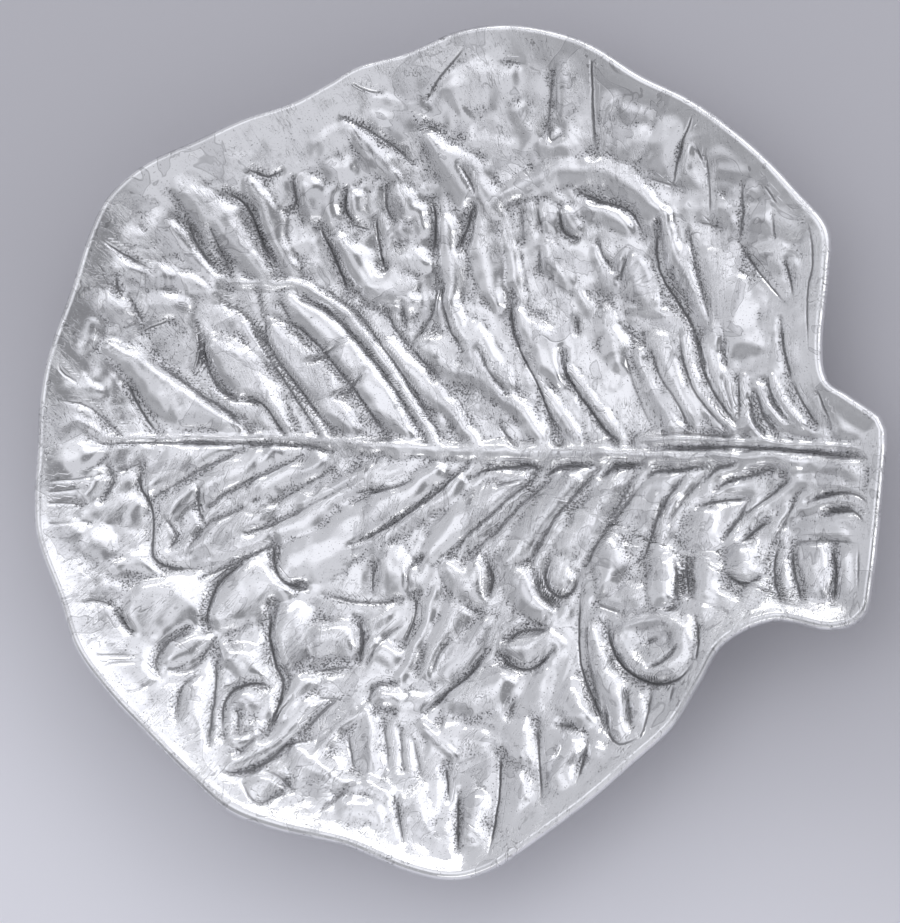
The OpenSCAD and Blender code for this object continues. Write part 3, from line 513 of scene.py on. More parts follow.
        [-1.1, [(300, 456, 3), (262, 474, 3), (222, 494, 3), (200, 512, 3)]],
        [-0.9, [(240, 450, 3), (205, 466, 3), (170, 486, 3), (150, 497, 3)]],
        [-1.3, [(362, 492, 3), (392, 488, 4), (410, 480, 3)]],
        [-1.3, [(500, 484, 4), (520, 480, 4)]],
        [-1.8, [(428, 94, 4), (438, 75, 5), (452, 60, 6), (464, 44, 5)]],
        [-1.2, [(506, 58, 4), (520, 60, 5)]],
        [-1.5, [(344, 74, 5), (362, 86, 6), (380, 90, 3)]],
        [-1.6, [(344, 114, 3), (370, 128, 4), (395, 145, 4), (412, 160, 4)]],
        [-1.8, [(426, 122, 6), (440, 128, 7)]],
        [-1.7, [(462, 164, 3), (470, 178, 4), (476, 192, 3)]],
        [-2.6, [(472, 204, 6), (466, 226, 7), (460, 246, 5)]],
        [-2.2, [(432, 196, 6), (435, 225, 7), (432, 255, 6)]],
        [-1.8, [(386, 186, 5), (386, 204, 6), (392, 218, 4)]],
        [-1.8, [(345, 188, 4), (344, 206, 5), (350, 218, 4)]],
        [-2.2, [(376, 214, 5), (378, 240, 7), (384, 268, 5)]],
        [-2.4, [(318, 222, 6), (332, 254, 7), (348, 292, 5)]],
        [-1.4, [(352, 222, 5), (370, 228, 6)]],
        [-1.8, [(592, 42, 10), (592, 100, 11), (596, 150, 9)]],
        [-1.5, [(551, 72, 6), (550, 105, 7), (545, 132, 5)]],
        [-1.4, [(548, 122, 4), (552, 138, 4), (562, 132, 5)]],
        [-1.9, [(578, 190, 4), (600, 199, 5), (630, 210, 6), (644, 236, 6)]],
        [-1.6, [(538, 204, 4), (541, 226, 5)]],
        [-1.8, [(560, 204, 3), (562, 228, 4), (575, 238, 4)]],
        [-1.6, [(597, 240, 3), (603, 254, 4), (612, 268, 5)]],
        [-1.5, [(628, 255, 3), (620, 278, 4)]],
        [-1.4, [(622, 326, 8), (640, 340, 12)]],
        [-2.6, [(657, 222, 4), (657, 255, 6), (664, 280, 8), (680, 304, 8), (694, 330, 5),
                (704, 364, 4)]],
        [-1.4, [(688, 230, 3), (696, 262, 4), (703, 290, 4), (712, 324, 3)]],
        [-1.7, [(742, 248, 6), (760, 274, 8), (783, 302, 7)]],
        [-1.5, [(742, 184, 5), (743, 212, 6), (740, 242, 5)]],
        [-1.4, [(764, 186, 7), (778, 206, 7)]],
        [-1.0, [(773, 214, 3), (775, 238, 3)]],
        [-1.7, [(808, 222, 8), (812, 260, 8), (806, 300, 8), (808, 350, 8), (812, 392, 6)]],
        [-1.7, [(786, 262, 5), (792, 296, 6)]],
        [-1.7, [(694, 112, 6), (680, 145, 7), (672, 188, 6)]],
        [-1.6, [(696, 146, 6), (702, 160, 6)]],
        [-1.2, [(734, 137, 6), (754, 160, 8), (766, 180, 6)]],
        [-1.2, [(648, 176, 9), (680, 186, 10)]],
        [-1.5, [(236, 302, 4), (262, 340, 3), (284, 370, 3), (308, 402, 3), (330, 432, 3)]],
        [-1.5, [(216, 294, 3), (242, 314, 4), (262, 348, 3), (284, 382, 3), (318, 434, 3)]],
        [-1.5, [(300, 296, 3), (330, 312, 3), (362, 346, 3), (392, 386, 3), (426, 440, 3)]],
        [-1.5, [(322, 288, 3), (352, 308, 3), (382, 346, 3), (410, 386, 3), (442, 438, 3)]],
        [-1.3, [(96, 443, 3), (160, 442, 3), (240, 443, 3), (300, 445, 3), (330, 452, 3)]],
        [-1.4, [(388, 440, 4), (378, 425, 4), (365, 405, 4), (350, 385, 4), (330, 360, 4),
                (318, 346, 4), (298, 328, 4), (268, 313, 3)]],
        [-1.3, [(308, 362, 3), (322, 355, 4), (343, 341, 3)]],
        [-1.3, [(336, 398, 3), (350, 389, 4), (364, 372, 3)]],
        [-1.2, [(278, 299, 3), (288, 318, 4)]],
        [-1.1, [(256, 288, 3), (263, 322, 3), (268, 354, 3)]],
        [-1.5, [(705, 150, 5), (709, 185, 8), (710, 214, 7)]],
        [-1.4, [(724, 194, 4)]],
        [-1.3, [(700, 222, 8), (722, 228, 9)]],
        [-1.6, [(780, 322, 4), (782, 350, 4), (790, 382, 4)]],
        [-1.2, [(522, 210, 4), (523, 240, 5)]],
        [-1.2, [(540, 250, 4), (538, 272, 5)]],
        [-1.4, [(652, 352, 5), (662, 378, 6), (678, 404, 6), (690, 430, 4)]],
        [-1.2, [(628, 356, 7), (636, 390, 8), (650, 424, 9)]],
        [-1.6, [(681, 334, 3), (684, 362, 4), (693, 388, 4), (708, 410, 3), (728, 432, 3)]],
        [-1.7, [(692, 322, 4), (698, 348, 5), (706, 378, 6), (722, 406, 5), (736, 424, 3)]],
        [-1.0, [(722, 344, 3), (725, 366, 3)]],
        [-1.2, [(724, 380, 3), (733, 412, 3)]],
        [-1.6, [(738, 380, 4), (739, 422, 4)]],
        [-1.5, [(749, 398, 3), (753, 419, 3), (764, 436, 3)]],
        [-1.4, [(755, 392, 3), (762, 416, 4), (774, 432, 4)]],
        [-1.5, [(766, 380, 3), (771, 400, 4), (784, 420, 4)]],
        [-1.5, [(790, 384, 5), (800, 402, 5), (814, 426, 4)]],
        [-1.6, [(809, 350, 4), (813, 384, 5), (828, 424, 6)]],
        [-1.1, [(846, 410, 4), (864, 413, 4)]],
        [-1.6, [(650, 450, 3), (700, 448, 4), (744, 448, 4), (800, 451, 3), (862, 458, 3)]],
        [-1.3, [(664, 434, 3), (700, 434, 4), (740, 437, 3)]],
        [-1.6, [(646, 479, 3), (656, 471, 4), (680, 470, 4), (704, 466, 3)]],
        [-1.4, [(704, 480, 3), (715, 469, 3), (736, 464, 3)]],
        [-1.5, [(714, 490, 3), (726, 481, 4), (748, 476, 4), (768, 470, 4)]],
        [-1.9, [(698, 505, 4), (720, 500, 6), (746, 498, 4)]],
        [-1.6, [(747, 500, 3), (736, 518, 4), (721, 538, 3)]],
        [-1.4, [(642, 482, 3), (622, 508, 4), (600, 538, 3), (584, 566, 3)]],
        [-1.5, [(684, 476, 3), (662, 504, 4), (652, 530, 4), (640, 562, 4)]],
        [-1.3, [(702, 478, 3), (682, 500, 3), (668, 524, 3)]],
        [-2.2, [(740, 540, 4), (754, 528, 6), (764, 520, 5)]],
        [-1.5, [(742, 514, 3), (768, 496, 4), (786, 480, 5)]],
        [-1.4, [(792, 500, 3), (784, 520, 3), (770, 542, 3)]],
        [-1.8, [(674, 562, 4), (676, 580, 5), (674, 600, 5)]],
        [-1.8, [(684, 560, 4), (686, 590, 5)]],
        [-1.6, [(726, 576, 3), (742, 583, 4), (758, 576, 3)]],
        [-2.2, [(774, 545, 8), (771, 578, 8), (778, 602, 5)]],
        [-2.0, [(788, 548, 4), (791, 574, 5), (798, 602, 4)]],
        [-2.2, [(829, 546, 5), (831, 574, 6), (828, 600, 4)]],
        [-1.4, [(854, 548, 3), (854, 600, 3)]],
        [-1.5, [(806, 502, 3), (828, 493, 3), (852, 494, 3), (864, 504, 3)]],
        [-1.7, [(820, 513, 3), (834, 509, 4), (850, 511, 4), (860, 521, 3)]],
        [-1.2, [(790, 542, 4), (820, 540, 4), (850, 542, 3)]],
        [-1.8, [(373, 566, 6), (372, 594, 6)]],
        [-1.3, [(426, 556, 3), (412, 568, 3), (409, 590, 3)]],
        [-2.0, [(486, 560, 4), (492, 578, 5), (488, 596, 3)]],
        [-1.9, [(536, 574, 4), (541, 594, 4), (556, 606, 4)]],
        [-1.8, [(548, 560, 4), (544, 580, 4), (556, 596, 4), (574, 590, 4), (578, 572, 4)]],
        [-2.2, [(580, 590, 6), (578, 630, 7), (580, 664, 8), (590, 694, 7), (602, 724, 5)]],
        [-1.9, [(416, 596, 6), (414, 620, 7), (402, 646, 6)]],
        [-1.0, [(464, 606, 7), (480, 614, 6)]],
        [-1.8, [(426, 712, 3), (446, 694, 3), (468, 676, 3), (488, 650, 3)]],
        [-1.4, [(432, 676, 3), (440, 656, 3), (452, 640, 3)]],
        [-1.8, [(504, 641, 4), (522, 630, 5), (545, 629, 4)]],
        [-2.2, [(498, 654, 4), (514, 667, 5), (532, 667, 5), (552, 650, 4)]],
        [-1.8, [(508, 714, 5), (514, 700, 6)]],
        [-1.8, [(536, 722, 6), (538, 756, 7), (540, 796, 7)]],
        [-1.5, [(556, 724, 3), (572, 724, 3)]],
        [-1.8, [(586, 740, 6), (576, 776, 6)]],
        [-2.0, [(446, 766, 6), (448, 796, 7)]],
        [-2.2, [(458, 792, 5), (457, 820, 6), (458, 846, 4)]],
        [-2.4, [(500, 752, 6), (498, 796, 7), (490, 846, 5)]],
        [-1.7, [(348, 736, 8), (354, 768, 8)]],
        [-1.4, [(384, 722, 4), (388, 764, 5)]],
        [-1.2, [(400, 728, 3), (403, 768, 4)]],
        [-1.2, [(414, 740, 4), (420, 772, 4)]],
        [-2.2, [(358, 620, 6), (363, 640, 6), (359, 662, 5)]],
        [-1.5, [(326, 596, 6), (362, 604, 6), (400, 602, 4)]],
        [-1.5, [(318, 672, 9), (348, 668, 8)]],
        [-1.3, [(318, 700, 8), (342, 700, 8)]],
        [-1.3, [(366, 664, 3), (384, 640, 3), (404, 624, 3)]],
        [-1.6, [(396, 800, 4), (400, 822, 5), (403, 842, 4)]],
        [-1.2, [(368, 700, 4), (376, 686, 4), (396, 684, 4)]],
        [-1.6, [(222, 774, 4), (246, 772, 5), (270, 760, 4), (290, 745, 4), (310, 740, 3)]],
        [-1.4, [(240, 752, 3), (262, 736, 4), (278, 716, 4), (292, 700, 3)]],
        [-1.5, [(270, 772, 5), (284, 780, 5), (292, 790, 4)]],
        [-1.4, [(244, 784, 3), (252, 798, 3), (264, 804, 4), (276, 796, 4), (286, 790, 3)]],
        [-1.6, [(300, 738, 7), (320, 716, 9), (338, 700, 8)]],
        [-1.0, [(318, 812, 3), (336, 798, 3), (352, 784, 3)]],
        [-2.2, [(606, 622, 5), (611, 646, 7), (624, 668, 7), (648, 681, 5), (676, 678, 4),
                (692, 662, 4)]],
        [-1.9, [(694, 616, 5), (696, 646, 6), (690, 678, 5)]],
        [-1.4, [(647, 668, 2), (662, 660, 3), (675, 646, 2)]],
        [-1.0, [(646, 642, 2), (656, 638, 2)]],
        [-1.6, [(625, 690, 3), (628, 728, 4)]],
        [-1.6, [(650, 688, 3), (644, 720, 4), (636, 742, 3)]],
        [-1.5, [(668, 700, 4), (672, 684, 4)]],
        [-1.5, [(604, 700, 4), (606, 728, 4), (618, 742, 4), (636, 736, 3)]],
        [-1.4, [(612, 756, 3), (630, 750, 3), (644, 738, 3)]],
        [-1.6, [(664, 610, 6), (676, 604, 5)]],
        [-1.2, [(596, 604, 6), (620, 612, 6)]],
    ],
}

# Where the side veins leave the midrib and where they end, and the midrib's own line
veins = {
    "midrib": ([29, 100, 200, 330, 400, 450, 550, 640, 760, 820, 882],
               [445, 438, 439, 441, 447, 450, 451, 453, 456, 460, 470]),
    "bow": 0.16,
    "blend": 4,
    "rowWidth": 30,
    "roots": (70, 150, 228, 316, 361, 416, 472, 525, 575, 605, 635, 690, 749, 772, 800, 834),
    "upperEnds": [(43, 400), (72, 330), (90, 240), (140, 165), (200, 140), (280, 110), (350, 70),
                  (425, 45), (490, 25), (545, 30), (600, 50), (660, 90), (760, 155), (810, 205),
                  (824, 260), (822, 340)],
    "lowerEnds": [(33, 510), (45, 575), (75, 650), (120, 705), (165, 755), (220, 800), (280, 828),
                  (345, 842), (405, 866), (450, 875), (495, 862), (560, 815), (660, 735),
                  (700, 675), (740, 630), (820, 625)],
}

outlinePlan = planOf(smoothPath(drawing["outline"], 10, closed=True))
closedOutline = np.vstack([outlinePlan, outlinePlan[:1]])


def rimRise(plan):
    around = np.degrees(np.arctan2(plan[:, 1], plan[:, 0]))
    waves = sum(share * np.sin(np.radians(count * around + start)) for count, start, share
                in zip(leaf["rimCounts"], leaf["rimStarts"], leaf["rimShares"]))
    return leaf["dishDepth"] + leaf["rimWave"] * waves


def dishRise(plan, depth):
    width = leaf["borderWidth"]
    return rimRise(plan) * (1 - np.minimum(depth, width) / width) ** 2


def formPath(line):
    return smoothPath(line if len(line) > 1 else [line[0], np.add(line[0], (0.5, 0, 0))], 5)


# Rise of a table's forms: a pillow is a dome round its line, a crease a soft groove along it
def formHeights(place, table, domed):
    rise = np.zeros(len(place))
    for height, line in table:
        path = formPath(line)
        reach = path[:, 2].max() * leaf["domeSpread" if domed else "creaseSpread"]
        low, high = path[:, :2].min(0) - reach, path[:, :2].max(0) + reach
        near = np.where(((place > low) & (place < high)).all(1))[0]
        far, share, _ = pathDistance(place[near], path[:, :2])
        width = np.interp(share, np.linspace(0, 1, len(path)), path[:, 2])
        if domed:
            form = np.clip(1 - (far / width / leaf["domeSpread"]) ** 2, 0, 1) ** leaf["domePower"]
        else:
            form = np.exp(-(far / width) ** 2)
        rise[near] += np.sign(height) * (abs(height) * form) ** leaf["meeting"]
    return np.sign(rise) * np.abs(rise) ** (1 / leaf["meeting"])


def smeared(field, width):
    rows, columns = np.fft.fftfreq(field.shape[0])[:, None], np.fft.rfftfreq(field.shape[1])
    fade = np.exp(-2 * (math.pi * width) ** 2 * (rows ** 2 + columns ** 2))
    return np.fft.irfft2(np.fft.rfft2(field) * fade, field.shape)


# The pillows on an even raster, bent out of true and softened, so that they flow together
def pillowRaster():
    step = leaf["rasterStep"]
    x, y = np.meshgrid(*[np.arange(0, size, step) for size in leaf["rasterSize"]])
    flat = np.stack([x.ravel(), y.ravel()], -1)
    bend = np.stack([sum(share * noiseAt(flat, length, seed + axis)
                         for share, length, seed in leaf["formWaves"]) for axis in (0, 1)], -1)
    bent = flat + leaf["formBend"] * bend
    raised = [form for form in leaf["pillows"] if form[0] > 0]
    sunk = [form for form in leaf["pillows"] if form[0] < 0]
    forms = formHeights(bent, raised, True) + formHeights(bent, sunk, True)
    forms = forms.reshape(x.shape)
    return sum(share * smeared(forms, width / step) for share, width in leaf["pillowLayers"])


def rasterAt(raster, place):
    at = np.clip(place / leaf["rasterStep"], 0, np.array(raster.shape)[::-1] - 1.001)
    i, j = at.astype(int).T
    u, v = (at - np.stack([i, j], -1)).T
    return (raster[j, i] * (1 - u) + raster[j, i + 1] * u) * (1 - v) \
        + (raster[j + 1, i] * (1 - u) + raster[j + 1, i + 1] * u) * v


def midribY(x):
    return np.interp(x, *veins["midrib"])


# Which side vein each place lies by, counted along the midrib, with the shares between two
def leafFlow(place):
    across = np.zeros(len(place))
    for ends, upper in ((veins["upperEnds"], True), (veins["lowerEnds"], False)):
        mine = (place[:, 1] < midribY(place[:, 0])) == upper
        p = place[mine]
        gaps = []
        for root, end in zip(veins["roots"], ends):
            start = np.array([root, midribY(root)])
            end = np.array(end, float)
            bend = (start + end) / 2 + np.array([(root - end[0]) * veins["bow"], 0])
            gaps.append(pathDistance(p, smoothPath([start, bend, end], 6))[2])
        gaps = np.array(gaps)
        order = np.arange(len(gaps))[:, None]
        weight = 1 / (gaps ** 2 + veins["blend"]) ** 2
        between = np.tanh(gaps / veins["rowWidth"]) * (-0.5 if upper else 0.5)
        across[mine] = (weight * (order + between)).sum(0) / weight.sum(0)
    return across


# Distance to the nearest crease, with a sign for its side, and how strong the crease is there
def creaseField(place):
    reach = leaf["creaseReach"]
    side, strength = np.full(len(place), reach), np.zeros(len(place))
    for height, line in leaf["creases"]:
        path = formPath(line)
        low, high = path[:, :2].min(0) - reach, path[:, :2].max(0) + reach
        near = np.where(((place > low) & (place < high)).all(1))[0]
        far, share, signed = pathDistance(place[near], path[:, :2])
        width = np.interp(share, np.linspace(0, 1, len(path)), path[:, 2])
        slope, least = leaf["creaseTaper"]
        force = abs(height) / leaf["fullCreaseHeight"] \
            * np.clip(width / leaf["fullCreaseWidth"], 0, 1) \
            * ease(slope * np.minimum(share, 1 - share) + least)
        closer = far < np.minimum(np.abs(side[near]), reach)
        side[near[closer]] = signed[closer]
        strength[near[closer]] = (force * ease(leaf["creaseFade"] - far / reach))[closer]
    return side, np.clip(strength, 0, 1)


# The smaller forms of the casting: heights in millimetres, lengths in the drawing's points
surface = {
    "creaseGain": 1.15,
    # hollows level out towards this depth
    "deepest": 1.9,
    "warp": 9,
    "warpLength": 45,
    "warpSeeds": (3, 4),
    # share, rows to a vein, length and seed
    "streaks": ((1, 3.1, 95, 11), (0.6, 6.3, 60, 12)),
    "streakHeight": 0.5,
    "streakReach": 190,
    "streakLeast": 0.25,
    "upperShift": 40,
    # a pillow this high is polished smooth on top
    "polishedFrom": 2.4,
    # height, share of it that the polishing takes, length and seed
    "lumps": ((0.765, 0.4, 26, 21), (0.45, 0.8, 13, 22), (0.14, 0.75, 7, 24)),
    "foldHeight": 0.3,
    "foldStart": 1.1,
    "foldSharpness": 2.2,
    "foldLength": 34,
    "foldSeed": 23,
    "landDepth": 3,
    "landWidth": 16,
    # height, length and seed of the waves that reach on over the land
    "waves": ((0.35, 60, 31), (0.2, 24, 32)),
    "waveEdge": 6,
    "waveLoss": 0.6,
}


def leafRelief(place, depth):
    x, y = place.T
    out = np.abs(y - midribY(x))
    pillows = rasterAt(softPillows, place)
    creases = formHeights(place, leaf["creases"], False)
    warped = place + surface["warp"] * np.stack(
        [noiseAt(place, surface["warpLength"], seed) for seed in surface["warpSeeds"]], -1)
    flow, shift = leafFlow(place), surface["upperShift"] * (y < midribY(x))
    streaks = sum(share * softNoise(flow * rows + shift, out / length, seed)
                  for share, rows, length, seed in surface["streaks"])
    least = surface["streakLeast"]
    streakShare = np.exp(-(out / surface["streakReach"]) ** 2) * (1 - least) + least
    # the tops of the pillows are polished smoother than the ground between them
    smooth = ease(pillows / surface["polishedFrom"])
    lumps = sum(height * (1 - loss * smooth) * noiseAt(warped, length, seed)
                for height, loss, length, seed in surface["lumps"])
    folds = 1 - np.abs(noiseAt(warped, surface["foldLength"], surface["foldSeed"])) \
        * surface["foldSharpness"]
    relief = pillows + surface["creaseGain"] * creases + lumps \
        + surface["streakHeight"] * streaks * streakShare \
        + surface["foldHeight"] * folds * (surface["foldStart"] - streakShare)
    deepest = surface["deepest"]
    relief = np.where(relief < 0, deepest * (np.exp(relief / deepest) - 1), relief)
    land = ease((depth - surface["landDepth"]) / surface["landWidth"])
    waves = sum(height * noiseAt(place, length, seed) for height, length, seed in surface["waves"])
    return relief * land \
        + waves * ease(depth / surface["waveEdge"]) * (1 - land * surface["waveLoss"])


softPillows = pillowRaster()


def rimDepth(plan):
    return np.maximum(0, pathDistance(plan, closedOutline)[0] - leaf["rimRadius"])


def landRise(depth):
    return leaf["landSwell"] * (1 - ease(depth / leaf["landReach"]))


# Height of the front over the table, and how much of it is relief
def frontHeights(plan):
    depth = rimDepth(plan)
    dish = dishRise(plan, depth)
    relief = leafRelief(viewOf(plan, dish - rimRise(plan)), depth)
    bead = leaf["beadSwell"] * np.exp(-(depth / leaf["beadReach"]) ** 2)
    height = leaf["floorLevel"] + dish + landRise(depth) + bead + relief
    # the highest waves of the rim stay just under the solid's top
    over = np.maximum(0, height - leaf["rimTop"])
    return height - over + leaf["rimEasing"] * np.tanh(over / leaf["rimEasing"]), relief


# The disc that a square grid becomes, with each edge of the square a quarter of the circle
def discPlace(flat):
    a, b = flat[:, 0], flat[:, 1]
    wide = np.abs(a) >= np.abs(b)
    radius = np.where(wide, a, b)
    safe = np.where(np.abs(radius) < 1e-9, 1, radius)
    angle = np.where(wide, math.pi / 4 * b / safe, math.pi / 2 - math.pi / 4 * a / safe)
    return np.abs(radius), np.mod(np.where(radius < 0, angle + math.pi, angle), 2 * math.pi)


# Places of a rim ring: the outline moved in by an inset, at even angles seen from the middle
outlineAlong = np.roll(outlinePlan, -1, 0) - np.roll(outlinePlan, 1, 0)
outlineOut = np.stack([outlineAlong[:, 1], -outlineAlong[:, 0]], -1)
outlineOut /= np.linalg.norm(outlineOut, axis=1)[:, None]
if ((outlineOut * outlinePlan).sum(1)).mean() < 0:
    outlineOut = -outlineOut
innerEdge = outlinePlan - outlineOut * leaf["innerInset"]
innerAngles = np.unwrap(np.arctan2(innerEdge[:, 1], innerEdge[:, 0]))
if innerAngles[-1] < innerAngles[0]:
    innerAngles, innerEdge = innerAngles[::-1], innerEdge[::-1]
    ringOutline, ringOut = outlinePlan[::-1], outlineOut[::-1]
else:
    ringOutline, ringOut = outlinePlan, outlineOut
innerAngles = np.maximum.accumulate(innerAngles)


def aroundOutline(values, angle):
    start = innerAngles[0]
    wrapped = start + np.mod(angle - start, 2 * math.pi)
    angles = np.append(innerAngles, innerAngles[0] + 2 * math.pi)
    closed = np.vstack([values, values[:1]])
    return np.stack([np.interp(wrapped, angles, closed[:, i]) for i in (0, 1)], -1)


def readVertices(obj):
    flat = np.zeros(len(obj.data.vertices) * 3)
    obj.data.vertices.foreach_get("co", flat)
    return flat.reshape(-1, 3)


def writeVertices(obj, places):
    obj.data.vertices.foreach_set("co", np.ascontiguousarray(places, float).ravel())
    obj.data.update()


def activate(obj):
    bpy.ops.object.select_all(action="DESELECT")
    obj.select_set(True)
    bpy.context.view_layer.objects.active = obj


def selectVertices(obj, chosen):
    bpy.ops.object.mode_set(mode="EDIT")
    bpy.ops.mesh.select_mode(type="VERT")
    bpy.ops.mesh.select_all(action="DESELECT")
    bpy.ops.object.mode_set(mode="OBJECT")
    obj.data.vertices.foreach_set("select", np.ascontiguousarray(chosen, bool))
    bpy.ops.object.mode_set(mode="EDIT")


def addGrid(name, steps):
    bpy.ops.mesh.primitive_grid_add(x_subdivisions=steps, y_subdivisions=steps, size=2)
    obj = bpy.context.active_object
    obj.name = obj.data.name = name
    flat = readVertices(obj)[:, :2]
    index = np.rint((flat + 1) / 2 * steps).astype(int)
    radius, angle = discPlace(np.round((index / steps * 2 - 1), 9))
    plan = aroundOutline(innerEdge, angle) * radius[:, None]
    return obj, index, angle, plan


def addField(obj, name, values, kind="FLOAT"):
    layer = obj.data.attributes.new(name, kind, "POINT")
    layer.data.foreach_set("value" if kind == "FLOAT" else "vector", values.ravel())


def selectOpenEdges():
    bpy.ops.mesh.select_mode(type="EDGE")
    bpy.ops.mesh.select_all(action="DESELECT")
    bpy.ops.mesh.select_non_manifold(extend=False, use_wire=False, use_multi_face=False,
                                     use_non_contiguous=False, use_verts=False)


# A grid of the points' values, smoothed along its rows and its columns by turns
def blurred(values, index, steps, rounds):
    grid = np.zeros((steps + 1, steps + 1))
    grid[tuple(index.T)] = values
    for _ in range(2 * rounds):
        padded = np.pad(grid, ((1, 1), (0, 0)), mode="edge")
        grid = ((padded[:-2] + 2 * padded[1:-1] + padded[2:]) / 4).T
    return grid


# Front of the leaf, then its rim ring by ring, then the back
front, frontIndex, frontAngle, frontPlan = addGrid(leaf["name"], leaf["gridSteps"])
height, relief = frontHeights(frontPlan)
writeVertices(front, np.column_stack([frontPlan, height]) * mm)
recess = np.zeros(len(relief))
for rounds, full, share in leaf["recesses"]:
    around = blurred(relief, frontIndex, leaf["gridSteps"], rounds)[tuple(frontIndex.T)]
    recess += np.clip((around - relief) / full, 0, 1) * share
print("front of the leaf:", len(frontPlan), "points")

edgeIndex = np.where((frontIndex.min(1) == 0) | (frontIndex.max(1) == leaf["gridSteps"]))[0]
edgeIndex = edgeIndex[np.argsort(frontAngle[edgeIndex])]
edgeAngle = frontAngle[edgeIndex]
rimOutline = aroundOutline(ringOutline, edgeAngle)
rimOut = aroundOutline(ringOut, edgeAngle)
rimOut /= np.linalg.norm(rimOut, axis=1)[:, None]


def landRing(inset):
    plan = rimOutline - rimOut * inset
    return np.column_stack([plan, frontHeights(plan)[0]]) * mm


beadMiddle = rimOutline - rimOut * leaf["rimRadius"]
beadTop = frontHeights(beadMiddle)[0]
beadLow = leaf["floorLevel"] + rimRise(beadMiddle) - leaf["wall"] - leaf["landSwell"]


def beadRing(angle):
    radians = math.radians(angle)
    plan = beadMiddle + rimOut * (leaf["rimRadius"] - leaf["rimInset"]) * math.cos(radians)
    middle, half = (beadTop + beadLow) / 2, (beadTop - beadLow) / 2
    return np.column_stack([plan, middle + half * math.sin(radians)]) * mm


activate(front)
rings = [landRing(inset) for inset in leaf["landRings"]]
rings += [beadRing(angle) for angle in leaf["beadAngles"]]
selected = edgeIndex
for ring in rings:
    count = len(front.data.vertices)
    chosen = np.zeros(count, bool)
    chosen[selected] = True
    before = readVertices(front)[selected]
    selectVertices(front, chosen)
    bpy.ops.mesh.select_mode(type="EDGE")
    if selected is edgeIndex:
        selectOpenEdges()
    bpy.ops.mesh.extrude_region_move(TRANSFORM_OT_translate={"value": (0, 0, 0)})
    bpy.ops.object.mode_set(mode="OBJECT")
    places = readVertices(front)
    fresh = places[count:]
    match = np.argmin(((before[:, None, :] - fresh[None, :, :]) ** 2).sum(2), 1)
    selected = count + match
    places[selected] = ring
    writeVertices(front, places)
print("rim rings:", len(rings))

back, backIndex, _, backPlan = addGrid("leaf_back", leaf["backSteps"])
backDepth = rimDepth(backPlan)
stride = leaf["gridSteps"] // leaf["backSteps"]
reliefRounds, backRounds = leaf["backSmoothing"]
softRelief = blurred(relief, frontIndex, leaf["gridSteps"], reliefRounds)
softRelief = softRelief[tuple(backIndex.T * stride)]
backHeight = leaf["floorLevel"] + dishRise(backPlan, backDepth) - leaf["wall"] \
    - landRise(backDepth) + leaf["backRelief"] * softRelief
# round each foot the back comes down to a level seat
nearestFoot = np.min([np.hypot(*(backPlan - foot).T) for foot in leaf["feet"]], 0)
seat = ease((nearestFoot - leaf["seatRadius"]) / leaf["seatFade"])
backHeight = leaf["backLevel"] + (backHeight - leaf["backLevel"]) * seat
backHeight = blurred(backHeight, backIndex, leaf["backSteps"], backRounds)[tuple(backIndex.T)]
writeVertices(back, np.column_stack([backPlan, backHeight]) * mm)
joinCount = len(front.data.vertices)
activate(front)
back.select_set(True)
bpy.ops.object.join()
bpy.ops.object.mode_set(mode="EDIT")
selectOpenEdges()
bpy.ops.mesh.bridge_edge_loops()
bpy.ops.mesh.select_all(action="SELECT")
bpy.ops.mesh.normals_make_consistent(inside=False)
bpy.ops.object.mode_set(mode="OBJECT")
bpy.ops.object.shade_smooth()
front.data.materials.clear()

total = len(front.data.vertices)
addField(front, "recess", np.pad(recess, (0, total - len(recess))))
addField(front, "backSide", (np.arange(total) >= joinCount).astype(float))
# how far along the row of veins and how far out each point is, for marks that follow the leaf
allPlan = readVertices(front)[:, :2] / mm
allPlace = viewOf(allPlan, dishRise(allPlan, rimDepth(allPlan)) - rimRise(allPlan))
allOut = allPlace[:, 1] - midribY(allPlace[:, 0])
creaseSide, creaseStrength = creaseField(allPlace)
creaseStrength[len(frontPlan):] = 0
addField(front, "creaseSide", creaseSide)
addField(front, "creaseStrength", creaseStrength)
addField(front, "grainPlace", np.stack([
    leafFlow(allPlace) * leaf["grainRows"], allOut / leaf["grainLength"],
    np.where(allOut < 0, 0, leaf["lowerGrainShift"])], -1), "FLOAT_VECTOR")
print("leaf casting:", total, "points,", len(front.data.polygons), "faces")


# Materials
def addNode(tree, kind, place, **values):
    node = tree.nodes.new(kind)
    node.location = place
    for key, value in values.items():
        if hasattr(node, key):
            setattr(node, key, value)
        else:
            node.inputs[key.replace("_", " ")].default_value = value
    return node


def mapRange(tree, place, source, low, high, toLow=0.0, toHigh=1.0):
    node = addNode(tree, "ShaderNodeMapRange", place, interpolation_type="SMOOTHSTEP",
                   From_Min=low, From_Max=high, To_Min=toLow, To_Max=toHigh)
    tree.links.new(source, node.inputs["Value"])
    return node.outputs[0]


def mathNode(tree, place, operation, first, second=None, third=None):
    node = addNode(tree, "ShaderNodeMath", place, operation=operation)
    for socket, value in zip(node.inputs, (first, second, third)):
        if isinstance(value, (int, float)):
            socket.default_value = value
        elif value is not None:
            tree.links.new(value, socket)
    return node.outputs[0]


def mixNode(tree, place, share, first, second, kind="RGBA"):
    node = addNode(tree, "ShaderNodeMix", place, data_type=kind)
    for name, value in (("Factor", share), ("A", first), ("B", second)):
        if isinstance(value, tuple):
            node.inputs[name].default_value = value
        else:
            tree.links.new(value, node.inputs[name])
    return node.outputs["Result"]


def newMaterial(name):
    material = bpy.data.materials.new(name)
    material.use_nodes = True
    return material, material.node_tree, material.node_tree.nodes["Principled BSDF"]


